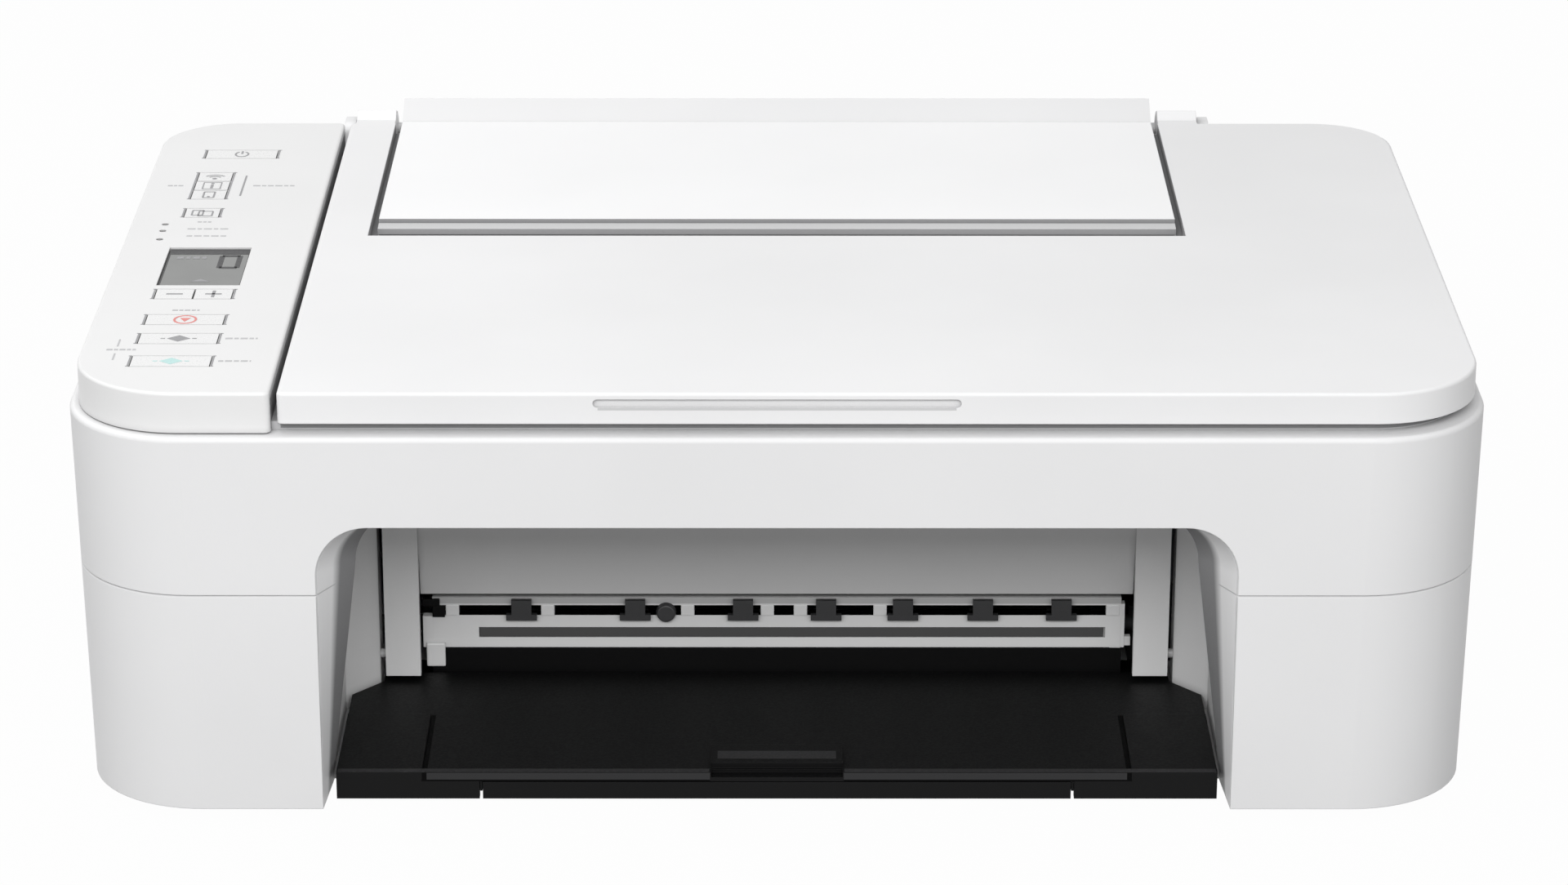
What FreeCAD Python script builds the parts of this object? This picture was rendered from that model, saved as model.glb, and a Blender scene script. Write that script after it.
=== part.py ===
import FreeCAD, Part
import math
import os
import re
import Sketcher

# Compact inkjet all-in-one printer. +Z is up, +X is to the viewer's right, the front faces -Y,
# and the origin is on the ground under the middle of the outline. Lengths are in millimetres.

DIMENSIONS = (
    ("width", 435, "overall width"),
    ("depth", 316, "overall depth, front face to rear housing"),
    ("rear_depth", 27, "rear housing, front to back"),
    ("foot_height", 4, "underside of the casing above the ground"),
    ("foot_radius", 8, "rubber foot"),
    ("foot_side", 38, "foot centre in from the side"),
    ("foot_front", 40, "foot centre in from the front and from the casing's rear"),
    ("seam_drop", 50.85, "joint between lower and upper case, below the rim"),
    ("seam_bevel", 0.7, "bevel along the joint"),
    ("rim_drop", 13.15, "top of the upper case below the lid's top"),
    ("rim_edge", 1.5, "rounded outer edge of the upper case"),
    ("side_lean", 2.3, "how far each side comes in from the rim to the underside"),
    ("wall", 2.5, "casing wall"),
    ("front_corner", 37.5, "casing corner seen from above, front"),
    ("rear_corner", 30, "casing corner seen from above, rear"),
    ("shoulder_width", 10.5, "flat ledge round the top of the upper case"),
    ("shoulder_rear", 8, "the same ledge at the rear"),
    ("pillar_width", 77, "casing beside the front opening"),
    ("arch_drop", 28.8, "top of the front opening below the rim"),
    ("arch_corner", 16, "upper corner of the front opening"),
    ("return_depth", 19, "depth of the sloping surround of the opening"),
    ("return_foot", 0.8, "how far the surround closes in at its foot"),
    ("return_head", 10.9, "how far the surround closes in at its head"),
    ("return_drop", 2, "how far the surround comes down at its back"),
    ("pillar_wall", 9, "pillar thickness beside the opening"),
    ("lintel_height", 7, "casing above the opening, behind the front"),
    ("cut_margin", 4, "how far a cut runs past the solid"),
    ("window_side", 1.2, "paper window wider than the support's recess"),
    ("window_sill", 17, "paper window below the case joint"),
    ("window_head", 3.5, "material above the paper window"),
    ("housing_side", 18.7, "rear housing beyond the support's recess"),
    ("housing_drop", 11.5, "top of the rear housing below the lid's top"),
    ("housing_corner", 8, "rear housing corner"),
    ("hinge_behind", 9, "lid and support hinge line, behind the casing"),
    ("hinge_drop", 5.5, "lid and support hinge line, below the lid's top"),
    ("pin_radius", 2, "hinge pin"),
    ("running_gap", 0.06, "radial clearance of a turning fit"),
    ("seat_gap", 0.02, "radial clearance of a fixed fit"),
    ("post_side", 14.8, "inner side of a hinge post beyond the recess"),
    ("post_behind", 3, "front of a hinge post behind the casing"),
    ("post_long", 13, "hinge post, front to back"),
    ("post_drop", 2.4, "top of a hinge post below the lid's top"),
    ("post_round", 4, "rounding of a hinge post"),
    ("hump_room", 12, "housing's top opening behind the hinge line"),
    ("top_height", 139.5, "top of the lid and of the control panel"),
    ("lid_inset", 3, "lid and panel inside the casing's outline at the sides"),
    ("lid_front", 4, "lid and panel inside the casing's outline at the front"),
    ("lid_rear", 3, "lid and panel inside the casing's outline at the rear"),
    ("lid_skirt", 9.8, "height of the lid"),
    ("lid_wall", 2.2, "lid and panel wall"),
    ("lid_edge", 1, "rounded top edge of the lid and the panel"),
    ("small_corner", 2, "corner beside the slot between panel and lid"),
    ("panel_width", 61.7, "control panel width"),
    ("panel_gap", 2.1, "slot between panel and lid"),
    ("panel_skirt", 12.8, "height of the control panel"),
    ("recess_side", 15.8, "lid between the slot and the recess"),
    ("recess_long", 132, "length of the recess in the lid"),
    ("recess_depth", 4, "depth of the recess"),
    ("grip_half", 55.5, "half length of the grip groove"),
    ("grip_drop", 4.6, "grip groove, lower edge below the lid's top"),
    ("grip_wide", 2.6, "grip groove width"),
    ("grip_depth", 1.2, "grip groove depth"),
    ("arm_side", 0.2, "inner side of a lid arm beyond the recess"),
    ("arm_wide", 13.8, "width of a lid arm"),
    ("arm_radius", 4, "lid arm round the pin"),
    ("arm_crest", 5, "crest of a lid arm before the hinge line"),
    ("arm_rise", 2.5, "crest of a lid arm above the lid's top"),
    ("arm_crown", 1.55, "height of a lid arm over the pin, share of its radius"),
    ("arm_back", 1.25, "rear of a lid arm, share of its radius"),
    ("arm_slant", 0.75, "slanted corners of a lid arm, share of its radius"),
    ("pad_left", 4, "lid pad inside the lid's left edge"),
    ("pad_right", 24, "lid pad inside the lid's right edge"),
    ("pad_front", 9, "lid pad inside the lid's front"),
    ("pad_rear", 18, "lid pad inside the lid's rear"),
    ("pad_lift", 0.3, "underside of the lid pad above the lid's edge"),
    ("support_side", 2.35, "gap beside the paper support"),
    ("support_front", 12, "gap in front of the paper support"),
    ("support_lift", 0.5, "gap under the paper support"),
    ("lip_drop", 1.6, "support's lip below the lid's top, front"),
    ("lip_drop_rear", 1.2, "support's lip below the lid's top, rear"),
    ("support_lip_length", 5, "length of the lip"),
    ("support_groove", 1, "groove behind the lip"),
    ("bend_before", 1.5, "where the support starts to rise, before the casing's rear"),
    ("crest_reach", 11, "radius of the support's hump round the hinge line"),
    ("hump_far", 0.86, "long side of a hump corner, share of the radius"),
    ("hump_near", 0.5, "short side of a hump corner, share of the radius"),
    ("hump_low", 0.7, "lowest point of the hump, share of the radius"),
    ("hump_end", 0.3, "ends of the hump's underside, share of the radius"),
    ("scan_plate_inset", 8, "scanner plate inside the casing's outline at the sides and front"),
    ("scan_plate_rear", 6, "scanner plate inside the casing's rear"),
    ("plate_gap", 0.6, "gap between the scanner plate and the lid"),
    ("tub_depth", 20.35, "depth of the scanner tub below the rim"),
    ("tub_wall", 2, "scanner tub wall"),
    ("tub_left", 1.4, "tub beside the slot between panel and lid"),
    ("tub_right", 17.5, "tub inside the casing's outline, right"),
    ("tub_front", 18, "tub inside the casing's outline, front"),
    ("tub_rear", 13, "tub inside the casing's outline, rear"),
    ("tub_corner", 20, "tub corner"),
    ("glass_left", 6.5, "glass beside the slot"),
    ("glass_side", 46.7, "glass beside the lid's right edge"),
    ("glass_rear", 41, "glass before the casing's rear"),
    ("glass_front", 24, "glass behind the front face"),
    ("glass_thick", 2, "glass thickness"),
    ("glass_ledge", 3, "ledge under the glass"),
    ("glass_gap", 0.2, "gap round the glass"),
    ("bar_width", 16, "scan bar width"),
    ("bar_height", 12, "scan bar height"),
    ("bar_end", 3, "scan bar short of the tub wall"),
    ("rib_width", 4, "rail rib in the tub"),
    ("rib_height", 3.7, "rail rib height"),
    ("rib_gap", 0.4, "gap between rib and scan bar"),
    ("board_lift", 2.6, "panel board above the scanner plate"),
    ("board_thick", 1.6, "circuit board"),
    ("board_side", 10.5, "panel board inside the panel's sides"),
    ("board_front", 16, "panel board inside the panel's front"),
    ("board_rear", 15, "panel board inside the panel's rear"),
    ("peg_radius", 2.5, "pegs and bosses under the panel"),
    ("peg_side", 7.2, "boss centre inside the panel's sides"),
    ("key_left", 19.9, "keys from the casing's left side"),
    ("key_wide", 24.2, "wide key"),
    ("key_small", 11.25, "small key"),
    ("key_pair", 11.8, "one key of the pair under the display"),
    ("key_depth", 9.4, "key, front to back"),
    ("key_gap", 0.35, "gap round a key"),
    ("key_room", 1.3, "free space under a key"),
    ("flange_out", 1, "key flange beyond the key"),
    ("flange_drop", 4, "underside of the key flange below the panel's top"),
    ("flange_thick", 1.4, "key flange thickness"),
    ("power_share", 0.8652, "power key, along the panel"),
    ("stack_pitch", 10.2, "pitch of the three stacked keys"),
    ("stack_share", 0.7362, "middle stacked key, along the panel"),
    ("single_share", 0.6294, "single small key, along the panel"),
    ("pair_share", 0.3298, "pair under the display, along the panel"),
    ("stop_share", 0.2411, "stop key, along the panel"),
    ("black_share", 0.1773, "black start key, along the panel"),
    ("colour_share", 0.1028, "colour start key, along the panel"),
    ("display_left", 19.3, "display from the casing's left side"),
    ("display_wide", 26, "display width"),
    ("display_share", 0.3617, "display, front edge along the panel"),
    ("display_long", 38, "display, front to back"),
    ("display_sunk", 0.6, "display below the panel top"),
    ("lamp_side", 14.55, "lamps from the casing's left side"),
    ("lamp_radius", 0.8, "status lamp"),
    ("lamp_share_first", 0.5851, "rear lamp, along the panel"),
    ("lamp_share_second", 0.5603, "middle lamp, along the panel"),
    ("lamp_share_third", 0.5284, "front lamp, along the panel"),
    ("liner_side", 1.5, "side wall of the bay inside the opening"),
    ("liner_thick", 2.5, "side wall thickness"),
    ("liner_turn", -87, "where the side wall turns inwards"),
    ("neck_side", 11.9, "narrow part of the side wall inside the opening"),
    ("liner_neck_front", -75, "front of the narrow part"),
    ("liner_back", -64, "rear end of the side wall"),
    ("liner_head", 1, "side wall short of the scanner tub"),
    ("liner_gap", 0.6, "gap behind the surround"),
    ("cover_gap", 1.8, "gap beside the cartridge cover"),
    ("leg_wide", 11.3, "width of a cover leg"),
    ("cover_front", -76, "front of the cartridge cover"),
    ("cover_thick", 3, "cover thickness"),
    ("cover_rise", 1, "top of the cover above the opening"),
    ("cover_flat", 32, "flat head of the cover"),
    ("cover_low", 39.7, "lower edge of the cover's middle"),
    ("cover_lean", 7, "how far the middle leans back"),
    ("cover_foot", 13.75, "lower end of the legs"),
    ("cover_axis_back", -71.5, "cover hinge line, behind the centre"),
    ("cover_axis_height", 20, "cover hinge line, above the ground"),
    ("cover_pin", 1.5, "cover hinge pin"),
    ("cover_lug", 5, "width of a hinge lug"),
    ("cover_lug_half", 4, "half height of a hinge lug"),
    ("tray_gap", 3.5, "gap beside the tray"),
    ("tray_sunk", 8, "front of the tray behind the casing's front"),
    ("tray_narrow", -87.2, "where the tray gets narrower"),
    ("tray_taper", 11, "length of the tray's slanting corners"),
    ("neck_gap", 1.1, "gap beside the tray's narrow part"),
    ("tray_back", -69, "rear end of the tray"),
    ("tray_low", 3.9, "lower edge of the tray front"),
    ("tray_lip", 9.8, "line under the tray's lip"),
    ("tray_rim", 12.8, "top of the tray's lip"),
    ("tray_top", 12, "upper face of the tray"),
    ("tray_skin", 1.8, "tray plate thickness"),
    ("tray_face", 3, "thickness of the tray front"),
    ("wing_long", 46, "raised wings, front to back"),
    ("wing_wide", 30, "raised wings, inwards from the opening"),
    ("wing_rise", 0.7, "height of the raised wings"),
    ("tab_half", 20.5, "half width of the grip tab"),
    ("tab_long", 19, "rear end of the grip tab behind the tray's front"),
    ("tab_rise", 1.9, "height of the grip tab"),
    ("tab_notch", 2.2, "finger notch before the tab"),
    ("slide_gap", 0.3, "gap of a sliding fit"),
    ("base_thick", 1.5, "tray base"),
    ("base_side", 3.5, "gap beside the tray base"),
    ("base_back", -49, "rear end of the tray base"),
    ("extension_side", 49, "tray beside the extension"),
    ("extension_gap", 1, "gap beside the tray extension"),
    ("extension_thick", 1.2, "tray extension plate"),
    ("extension_back", -72, "rear end of the tray extension"),
    ("outlet_side", 14.8, "eject frame inside the cover's side"),
    ("outlet_front", -66, "front of the eject frame"),
    ("outlet_depth", 4, "thickness of the eject frame's bar"),
    ("outlet_low", 19.7, "lower edge of the bar"),
    ("outlet_high", 31, "upper edge of the bar"),
    ("outlet_post", 3.5, "end posts of the eject frame"),
    ("bridge_low", 34.5, "lower edge of the bridge"),
    ("bridge_high", 37.2, "upper edge of the bridge"),
    ("bridge_back", -59.5, "rear edge of the bridge"),
    ("strip_low", 23.2, "lower edge of the sunk strip"),
    ("strip_high", 26.8, "upper edge of the sunk strip"),
    ("strip_depth", 1.2, "depth of the sunk strip"),
    ("strip_start", 15, "sunk strip short of the frame, left"),
    ("strip_end", 5, "sunk strip short of the frame, right"),
    ("wheel_share_one", -0.741, "first star wheel block, share of the frame's half"),
    ("wheel_share_two", -0.411, "second star wheel block"),
    ("wheel_share_three", -0.098, "third star wheel block"),
    ("wheel_share_four", 0.143, "fourth star wheel block"),
    ("wheel_share_five", 0.366, "fifth star wheel block"),
    ("wheel_share_six", 0.598, "sixth star wheel block"),
    ("wheel_share_seven", 0.826, "seventh star wheel block"),
    ("wheel_block", 6.5, "star wheel block width"),
    ("wheel_block_low", 31.8, "lower edge of a star wheel block"),
    ("wheel_block_high", 36.8, "upper edge of a star wheel block"),
    ("wheel_foot", 10, "width of the block's foot"),
    ("wheel_foot_low", 29.9, "lower edge of the block's foot"),
    ("wheel_block_depth", 2, "star wheel block, front to back"),
    ("eject_back", -55, "eject roller, behind the centre"),
    ("eject_height", 24, "eject roller, above the ground"),
    ("eject_radius", 4.6, "eject roller ring"),
    ("eject_shaft", 2.5, "eject roller shaft"),
    ("eject_ring", 8, "eject roller ring width"),
    ("feed_back", 12, "feed roller, behind the centre"),
    ("feed_height", 22, "feed roller, above the ground"),
    ("feed_radius", 7, "feed roller"),
    ("feed_shaft", 4, "feed roller shaft"),
    ("feed_extra", 1, "feed roller's surface beyond the eject frame"),
    ("platen_front", -46, "front of the platen"),
    ("platen_back", 3, "rear of the platen"),
    ("platen_low", 25, "underside of the platen"),
    ("platen_high", 28.5, "upper face of the platen"),
    ("platen_leg", 4, "platen leg"),
    ("chassis_side", 27.5, "chassis side plate inside the casing's outline"),
    ("chassis_thick", 1.5, "chassis sheet"),
    ("chassis_front", -64, "front of the chassis"),
    ("chassis_plate", 28, "front of the chassis back plate"),
    ("chassis_tail", 50, "rear end of the side plates"),
    ("chassis_gap", 2, "chassis under the scanner tub"),
    ("chassis_plate_low", 50, "lower edge of the back plate"),
    ("chassis_nose", 40, "height of the side plates at the front"),
    ("chassis_step", -8, "front of the high part of the side plates"),
    ("chassis_waist", 60, "height where the side plates get narrower"),
    ("chassis_foot", 11, "width of a chassis foot"),
    ("chassis_foot_length", 20, "length of a chassis foot"),
    ("screw_front", -40, "front chassis screws"),
    ("screw_back", 38, "rear chassis screws"),
    ("screw_radius", 1.5, "screw shank"),
    ("screw_length", 5.5, "screw shank length"),
    ("screw_head", 3, "screw head"),
    ("screw_head_height", 1.6, "screw head height"),
    ("rod_back", 6, "carriage rod, behind the centre"),
    ("rod_height", 62, "carriage rod, above the ground"),
    ("rod_radius", 4, "carriage rod"),
    ("carriage_wide", 76, "carriage width"),
    ("carriage_park", 2.5, "parked carriage short of the side plate"),
    ("carriage_front", -58, "front of the carriage"),
    ("carriage_split", -4, "rear of the cartridge bay"),
    ("carriage_back", 16, "rear of the carriage"),
    ("carriage_low", 36.5, "underside of the carriage"),
    ("carriage_gap", 14, "carriage under the scanner tub"),
    ("carriage_wall", 2, "carriage wall"),
    ("bearing_low", 45, "underside of the bearing block"),
    ("bearing_high", 79, "top of the bearing block"),
    ("head_front", -40, "print head, front"),
    ("head_back", -14, "print head, rear"),
    ("head_low", 31, "underside of the print head"),
    ("head_side", 6, "print head inside the cartridge's sides"),
    ("cartridge_gap", 0.3, "gap beside a cartridge"),
    ("cartridge_drop", 8, "cartridge below the carriage's side walls"),
    ("belt_front", 18.5, "front edge of the timing belt"),
    ("belt_wide", 5, "timing belt width"),
    ("belt_thick", 1.2, "timing belt thickness"),
    ("belt_gap", 0.35, "gap between belt and pulley"),
    ("pulley_radius", 6, "belt pulley"),
    ("pulley_inset", 12, "pulley centre inside the side plate"),
    ("pulley_drop", 16, "pulley centre below the chassis top"),
    ("pulley_shaft", 1.5, "pulley shaft"),
    ("clamp_half", 6, "half width of the belt clamp"),
    ("clamp_drop", 18, "underside of the belt clamp below the pulley centre"),
    ("clamp_gap", 0.5, "gap under the belt"),
    ("motor_radius", 12, "motor"),
    ("motor_length", 28, "carriage motor length"),
    ("motor_bore", 8, "depth of the shaft hole in a motor"),
    ("feed_motor_length", 19, "feed motor length"),
    ("gear_module", 1, "tooth size of the gear train"),
    ("gear_wide", 6, "gear width"),
    ("gear_inset", 14, "gears inside the side plate"),
    ("gear_slack", 0.12, "extra centre distance"),
    ("tooth_top", 0.8, "tooth above the pitch circle"),
    ("tooth_root", 1.15, "tooth below the pitch circle"),
    ("tooth_half", 0.597, "half tooth thickness over the tooth size"),
    ("tooth_slope", 0.3, "flank slope"),
    ("feed_teeth", 28, "teeth of the feed gear"),
    ("eject_teeth", 20, "teeth of the eject gear"),
    ("idler_teeth", 50, "teeth of the idler gear"),
    ("pinion_teeth", 14, "teeth of the motor pinion"),
    ("pinion_angle", 25, "direction of the motor pinion from the feed roller, degrees"),
    ("idler_shaft", 2.5, "idler gear shaft"),
    ("chute_side", 2.9, "paper chute inside the support's recess"),
    ("chute_thick", 2.2, "paper chute"),
    ("chute_behind", 15, "upper end of the chute behind the casing"),
    ("chute_drop", 18.5, "upper end of the chute below the lid's top"),
    ("knee_before", 5, "upper bend of the chute before the casing's rear"),
    ("knee_drop", 9.5, "upper bend of the chute below the case joint"),
    ("turn_before", 23, "middle bend of the chute before the casing's rear"),
    ("turn_drop", 24, "middle bend of the chute below the upper one"),
    ("flat_before", 61, "lower bend of the chute before the casing's rear"),
    ("chute_flat_height", 30, "lower bend of the chute"),
    ("chute_end_back", 22, "front end of the chute"),
    ("chute_end_height", 27, "front end of the chute"),
    ("cheek_thick", 4, "cheek beside the chute"),
    ("cheek_reach", 10, "cheek before the pick-up roller's axis"),
    ("cheek_behind", 12, "cheek behind the pick-up roller's axis"),
    ("cheek_head", 10, "cheek above the pick-up roller's axis"),
    ("leg_before", 10, "chute leg before the lower bend"),
    ("pickup_before", 19, "pick-up roller before the casing's rear"),
    ("pickup_rise", 4, "pick-up roller above the chute's upper bend"),
    ("pickup_radius", 12.3, "pick-up roller"),
    ("pickup_half", 15, "half width of the pick-up roller"),
    ("pickup_shaft", 3, "pick-up roller shaft"),
    ("guide_side", 24, "paper guide inside the chute's side"),
    ("guide_thick", 3, "paper guide"),
    ("guide_long", 20, "height of a paper guide"),
    ("guide_drop", 3, "paper guide below the chute's upper end"),
    ("guide_reach", 8, "paper guide in front of the chute"),
    ("guide_gap", 0.6, "gap between guide and chute"),
    ("station_gap", 4, "maintenance station beside the eject frame"),
    ("station_wide", 61, "maintenance station, width"),
    ("station_back", 2, "maintenance station, rear"),
    ("station_high", 26, "maintenance station body"),
    ("cap_high", 30.3, "top of the caps"),
    ("cap_wide", 19, "width of a cap"),
    ("supply_side", 9.5, "power supply inside the casing's outline"),
    ("supply_wide", 66, "power supply, width"),
    ("supply_gap", 4, "power supply behind the chassis"),
    ("supply_rear", 19, "power supply before the casing's rear"),
    ("supply_high", 48, "top of the power supply"),
    ("inlet_side", 26, "mains inlet from the power supply's left side"),
    ("inlet_wide", 22, "mains inlet width"),
    ("inlet_low", 22, "mains inlet, lower edge"),
    ("inlet_high", 38, "mains inlet, upper edge"),
    ("inlet_sunk", 10, "depth of the socket"),
    ("inlet_rim", 2, "rim of the socket"),
    ("inlet_pin", 1.2, "contact pin"),
    ("inlet_pin_pitch", 8, "distance between contact pins"),
    ("port_side", 49.5, "data port inside the casing's outline"),
    ("port_wide", 12, "data port width"),
    ("port_low", 24, "data port, lower edge"),
    ("port_high", 35, "data port, upper edge"),
    ("port_gap", 0.3, "gap round a socket"),
    ("port_proud", 0.8, "socket standing out of the wall"),
    ("mainboard_before", 15, "main board before the casing's rear"),
    ("mainboard_inset", 12.5, "main board inside the casing's outline"),
    ("mainboard_wide", 63, "main board width"),
    ("mainboard_high", 66, "top of the main board"),
)

# Places and sizes that follow from the table above.
PLACES = (
    ("case_back", "depth / 2 - rear_depth"),
    ("rim_height", "top_height - rim_drop"),
    ("seam_height", "rim_height - seam_drop"),
    ("seam_lean", "side_lean * seam_drop / (rim_height - foot_height)"),
    ("chute_knee_height", "seam_height - knee_drop"),
    ("chute_turn_height", "chute_knee_height - turn_drop"),
    ("pickup_height", "chute_knee_height + pickup_rise"),
    ("cheek_top", "pickup_height + cheek_head"),
    ("arch_half", "width / 2 - pillar_width"),
    ("arch_top", "rim_height - arch_drop"),
    ("housing_top", "top_height - housing_drop"),
    ("hinge_back", "case_back + hinge_behind"),
    ("hinge_height", "top_height - hinge_drop"),
    ("post_front", "case_back + post_behind"),
    ("post_back", "post_front + post_long"),
    ("post_top", "top_height - post_drop"),
    ("hump_clearance", "hinge_back + hump_room"),
    ("lid_bottom", "top_height - lid_skirt"),
    ("panel_bottom", "top_height - panel_skirt"),
    ("recess_half", "width / 2 - lid_inset - panel_width - panel_gap - recess_side"),
    ("window_half", "recess_half + window_side"),
    ("housing_half", "recess_half + housing_side"),
    ("post_inner", "recess_half + post_side"),
    ("recess_front", "case_back - recess_long"),
    ("recess_floor", "top_height - recess_depth"),
    ("grip_low", "top_height - grip_drop"),
    ("grip_high", "grip_low + grip_wide"),
    ("arm_inner", "recess_half + arm_side"),
    ("arm_outer", "arm_inner + arm_wide"),
    ("pad_bottom", "lid_bottom + pad_lift"),
    ("support_bottom", "recess_floor + support_lift"),
    ("support_lip", "top_height - lip_drop"),
    ("support_lip_rear", "top_height - lip_drop_rear"),
    ("support_bend", "case_back - bend_before"),
    ("crest_height", "hinge_height + crest_reach"),
    ("scan_plate_top", "lid_bottom - plate_gap"),
    ("tub_bottom", "rim_height - tub_depth"),
    ("glass_length", "width - 2 * lid_inset - panel_width - panel_gap - glass_left - glass_side"),
    ("glass_depth", "depth - rear_depth - glass_front - glass_rear"),
    ("flange_low", "top_height - flange_drop"),
    ("flange_high", "flange_low + flange_thick"),
    ("liner_half", "arch_half - liner_side"),
    ("liner_neck", "arch_half - neck_side"),
    ("liner_top", "tub_bottom - liner_head"),
    ("cover_half", "liner_neck - cover_gap"),
    ("cover_leg", "cover_half - leg_wide"),
    ("cover_top", "arch_top + cover_rise"),
    ("cover_bend", "cover_top - cover_flat"),
    ("tray_front", "tray_sunk - depth / 2"),
    ("tray_neck", "liner_neck - neck_gap"),
    ("tray_step", "tray_front + wing_long"),
    ("tray_wing", "arch_half - wing_wide"),
    ("tab_back", "tray_front + tab_long"),
    ("base_half", "arch_half - base_side"),
    ("extension_half", "arch_half - extension_side"),
    ("outlet_half", "cover_half - outlet_side"),
    ("strip_left", "strip_start - outlet_half"),
    ("strip_right", "outlet_half - strip_end"),
    ("wheel_place_one", "wheel_share_one * outlet_half"),
    ("wheel_place_two", "wheel_share_two * outlet_half"),
    ("wheel_place_three", "wheel_share_three * outlet_half"),
    ("wheel_place_four", "wheel_share_four * outlet_half"),
    ("wheel_place_five", "wheel_share_five * outlet_half"),
    ("wheel_place_six", "wheel_share_six * outlet_half"),
    ("wheel_place_seven", "wheel_share_seven * outlet_half"),
    ("feed_half", "outlet_half + feed_extra"),
    ("chassis_top", "tub_bottom - chassis_gap"),
    ("carriage_high", "tub_bottom - carriage_gap"),
    ("cartridge_high", "carriage_high - cartridge_drop"),
    ("pulley_height", "chassis_top - pulley_drop"),
    ("clamp_low", "pulley_height - clamp_drop"),
    ("chute_half", "recess_half - chute_side"),
    ("chute_top_back", "case_back + chute_behind"),
    ("chute_top_height", "top_height - chute_drop"),
    ("chute_knee_back", "case_back - knee_before"),
    ("chute_turn_back", "case_back - turn_before"),
    ("chute_flat_back", "case_back - flat_before"),
    ("leg_back", "chute_flat_back - leg_before"),
    ("pickup_back", "case_back - pickup_before"),
    ("cheek_front", "pickup_back - cheek_reach"),
    ("cheek_back", "pickup_back + cheek_behind"),
    ("guide_place", "chute_half - guide_side"),
    ("guide_high", "chute_top_height - guide_drop"),
    ("guide_low", "guide_high - guide_long"),
    ("station_left", "outlet_half + station_gap"),
    ("supply_left", "width / 2 - supply_side - supply_wide"),
    ("supply_front", "chassis_tail + supply_gap"),
    ("supply_length", "case_back - supply_rear - supply_front"),
    ("inlet_place", "supply_left + inlet_side"),
    ("port_place", "width / 2 - port_side"),
    ("mainboard_back", "case_back - mainboard_before"),
    ("panel_start", "lid_front - depth / 2"),
    ("panel_long", "depth - rear_depth - lid_front - lid_rear"),
    ("power_place", "panel_start + panel_long * power_share"),
    ("stack_place", "panel_start + panel_long * stack_share"),
    ("single_place", "panel_start + panel_long * single_share"),
    ("pair_place", "panel_start + panel_long * pair_share"),
    ("stop_place", "panel_start + panel_long * stop_share"),
    ("black_place", "panel_start + panel_long * black_share"),
    ("colour_place", "panel_start + panel_long * colour_share"),
    ("display_front", "panel_start + panel_long * display_share"),
    ("display_back", "display_front + display_long"),
    ("lamp_first", "panel_start + panel_long * lamp_share_first"),
    ("lamp_second", "panel_start + panel_long * lamp_share_second"),
    ("lamp_third", "panel_start + panel_long * lamp_share_third"),
)

HALF = "(width / 2)"
FRONT = "(-depth / 2)"
REAR = "(depth / 2)"
FLOOR = "(foot_height + wall)"
RETURN_BACK = "(-depth / 2 + return_depth)"
PANEL_LEFT = "(lid_inset - width / 2)"
PANEL_RIGHT = "(lid_inset - width / 2 + panel_width)"
LID_LEFT = "(lid_inset - width / 2 + panel_width + panel_gap)"
LID_RIGHT = "(width / 2 - lid_inset)"
LID_FRONT = "(lid_front - depth / 2)"
LID_REAR = "(case_back - lid_rear)"
TUB_LEFT = f"({LID_LEFT} + tub_left)"
BASE_TOP = f"({FLOOR} + base_thick)"
TRAY_HALF = "(arch_half - tray_gap)"
SIDE_PLATE = "(width / 2 - chassis_side)"
CARRIAGE_MIDDLE = f"({SIDE_PLATE} - carriage_park - carriage_wide / 2)"
BOARD_LOW = "(scan_plate_top + board_lift)"
BOARD_TOP = "(scan_plate_top + board_lift + board_thick)"
GEAR_LEFT = f"(gear_inset - {SIDE_PLATE})"
GEAR_RIGHT = f"(gear_inset + gear_wide - {SIDE_PLATE})"
PULLEY_PLACE = f"({SIDE_PLATE} - pulley_inset)"
WHEEL_PLACES = ("one", "two", "three", "four", "five", "six", "seven")

doc = FreeCAD.newDocument("inkjet_printer")
dims = doc.addObject("Spreadsheet::Sheet", "dims")
for row, (alias, number, note) in enumerate(DIMENSIONS, start=1):
    dims.set(f"A{row}", str(number))
    dims.setAlias(f"A{row}", alias)
    dims.set(f"B{row}", note)
doc.recompute()

places = doc.addObject("App::VarSet", "places")
for name, formula in PLACES:
    places.addProperty("App::PropertyFloat", name)

nodes = []


FOLLOWING = [name for name, formula in PLACES]


def size(name):
    """Value of a driving dimension or of a place that follows from them."""
    if name in FOLLOWING:
        return getattr(places, name)
    return float(dims.get(name))


def full_name(match):
    """Name of a size with the sheet or set that holds it."""
    name = match.group()
    return f"places.{name}" if name in FOLLOWING else f"dims.{name}"


def bind(item, field, text):
    """Tie a property to a formula over the named sizes."""
    item.setExpression(field, re.sub(r"\b[a-z][a-z_]+\b", full_name, text))


for name, formula in PLACES:
    bind(places, name, formula)
doc.recompute()


def place(item, x_text, y_text, z_text):
    """Tie an object's position to three formulas."""
    bind(item, "Placement.Base.x", x_text)
    bind(item, "Placement.Base.y", y_text)
    bind(item, "Placement.Base.z", z_text)


def keep(label, item):
    """Name a finished sub-part."""
    item.Label = label
    nodes.append(item)
    return item


def box(name, x_from, x_to, y_from, y_to, z_from, z_to):
    """Rectangular block between two corners."""
    item = doc.addObject("Part::Box", name)
    bind(item, "Length", f"({x_to}) - ({x_from})")
    bind(item, "Width", f"({y_to}) - ({y_from})")
    bind(item, "Height", f"({z_to}) - ({z_from})")
    place(item, x_from, y_from, z_from)
    return item


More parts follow.
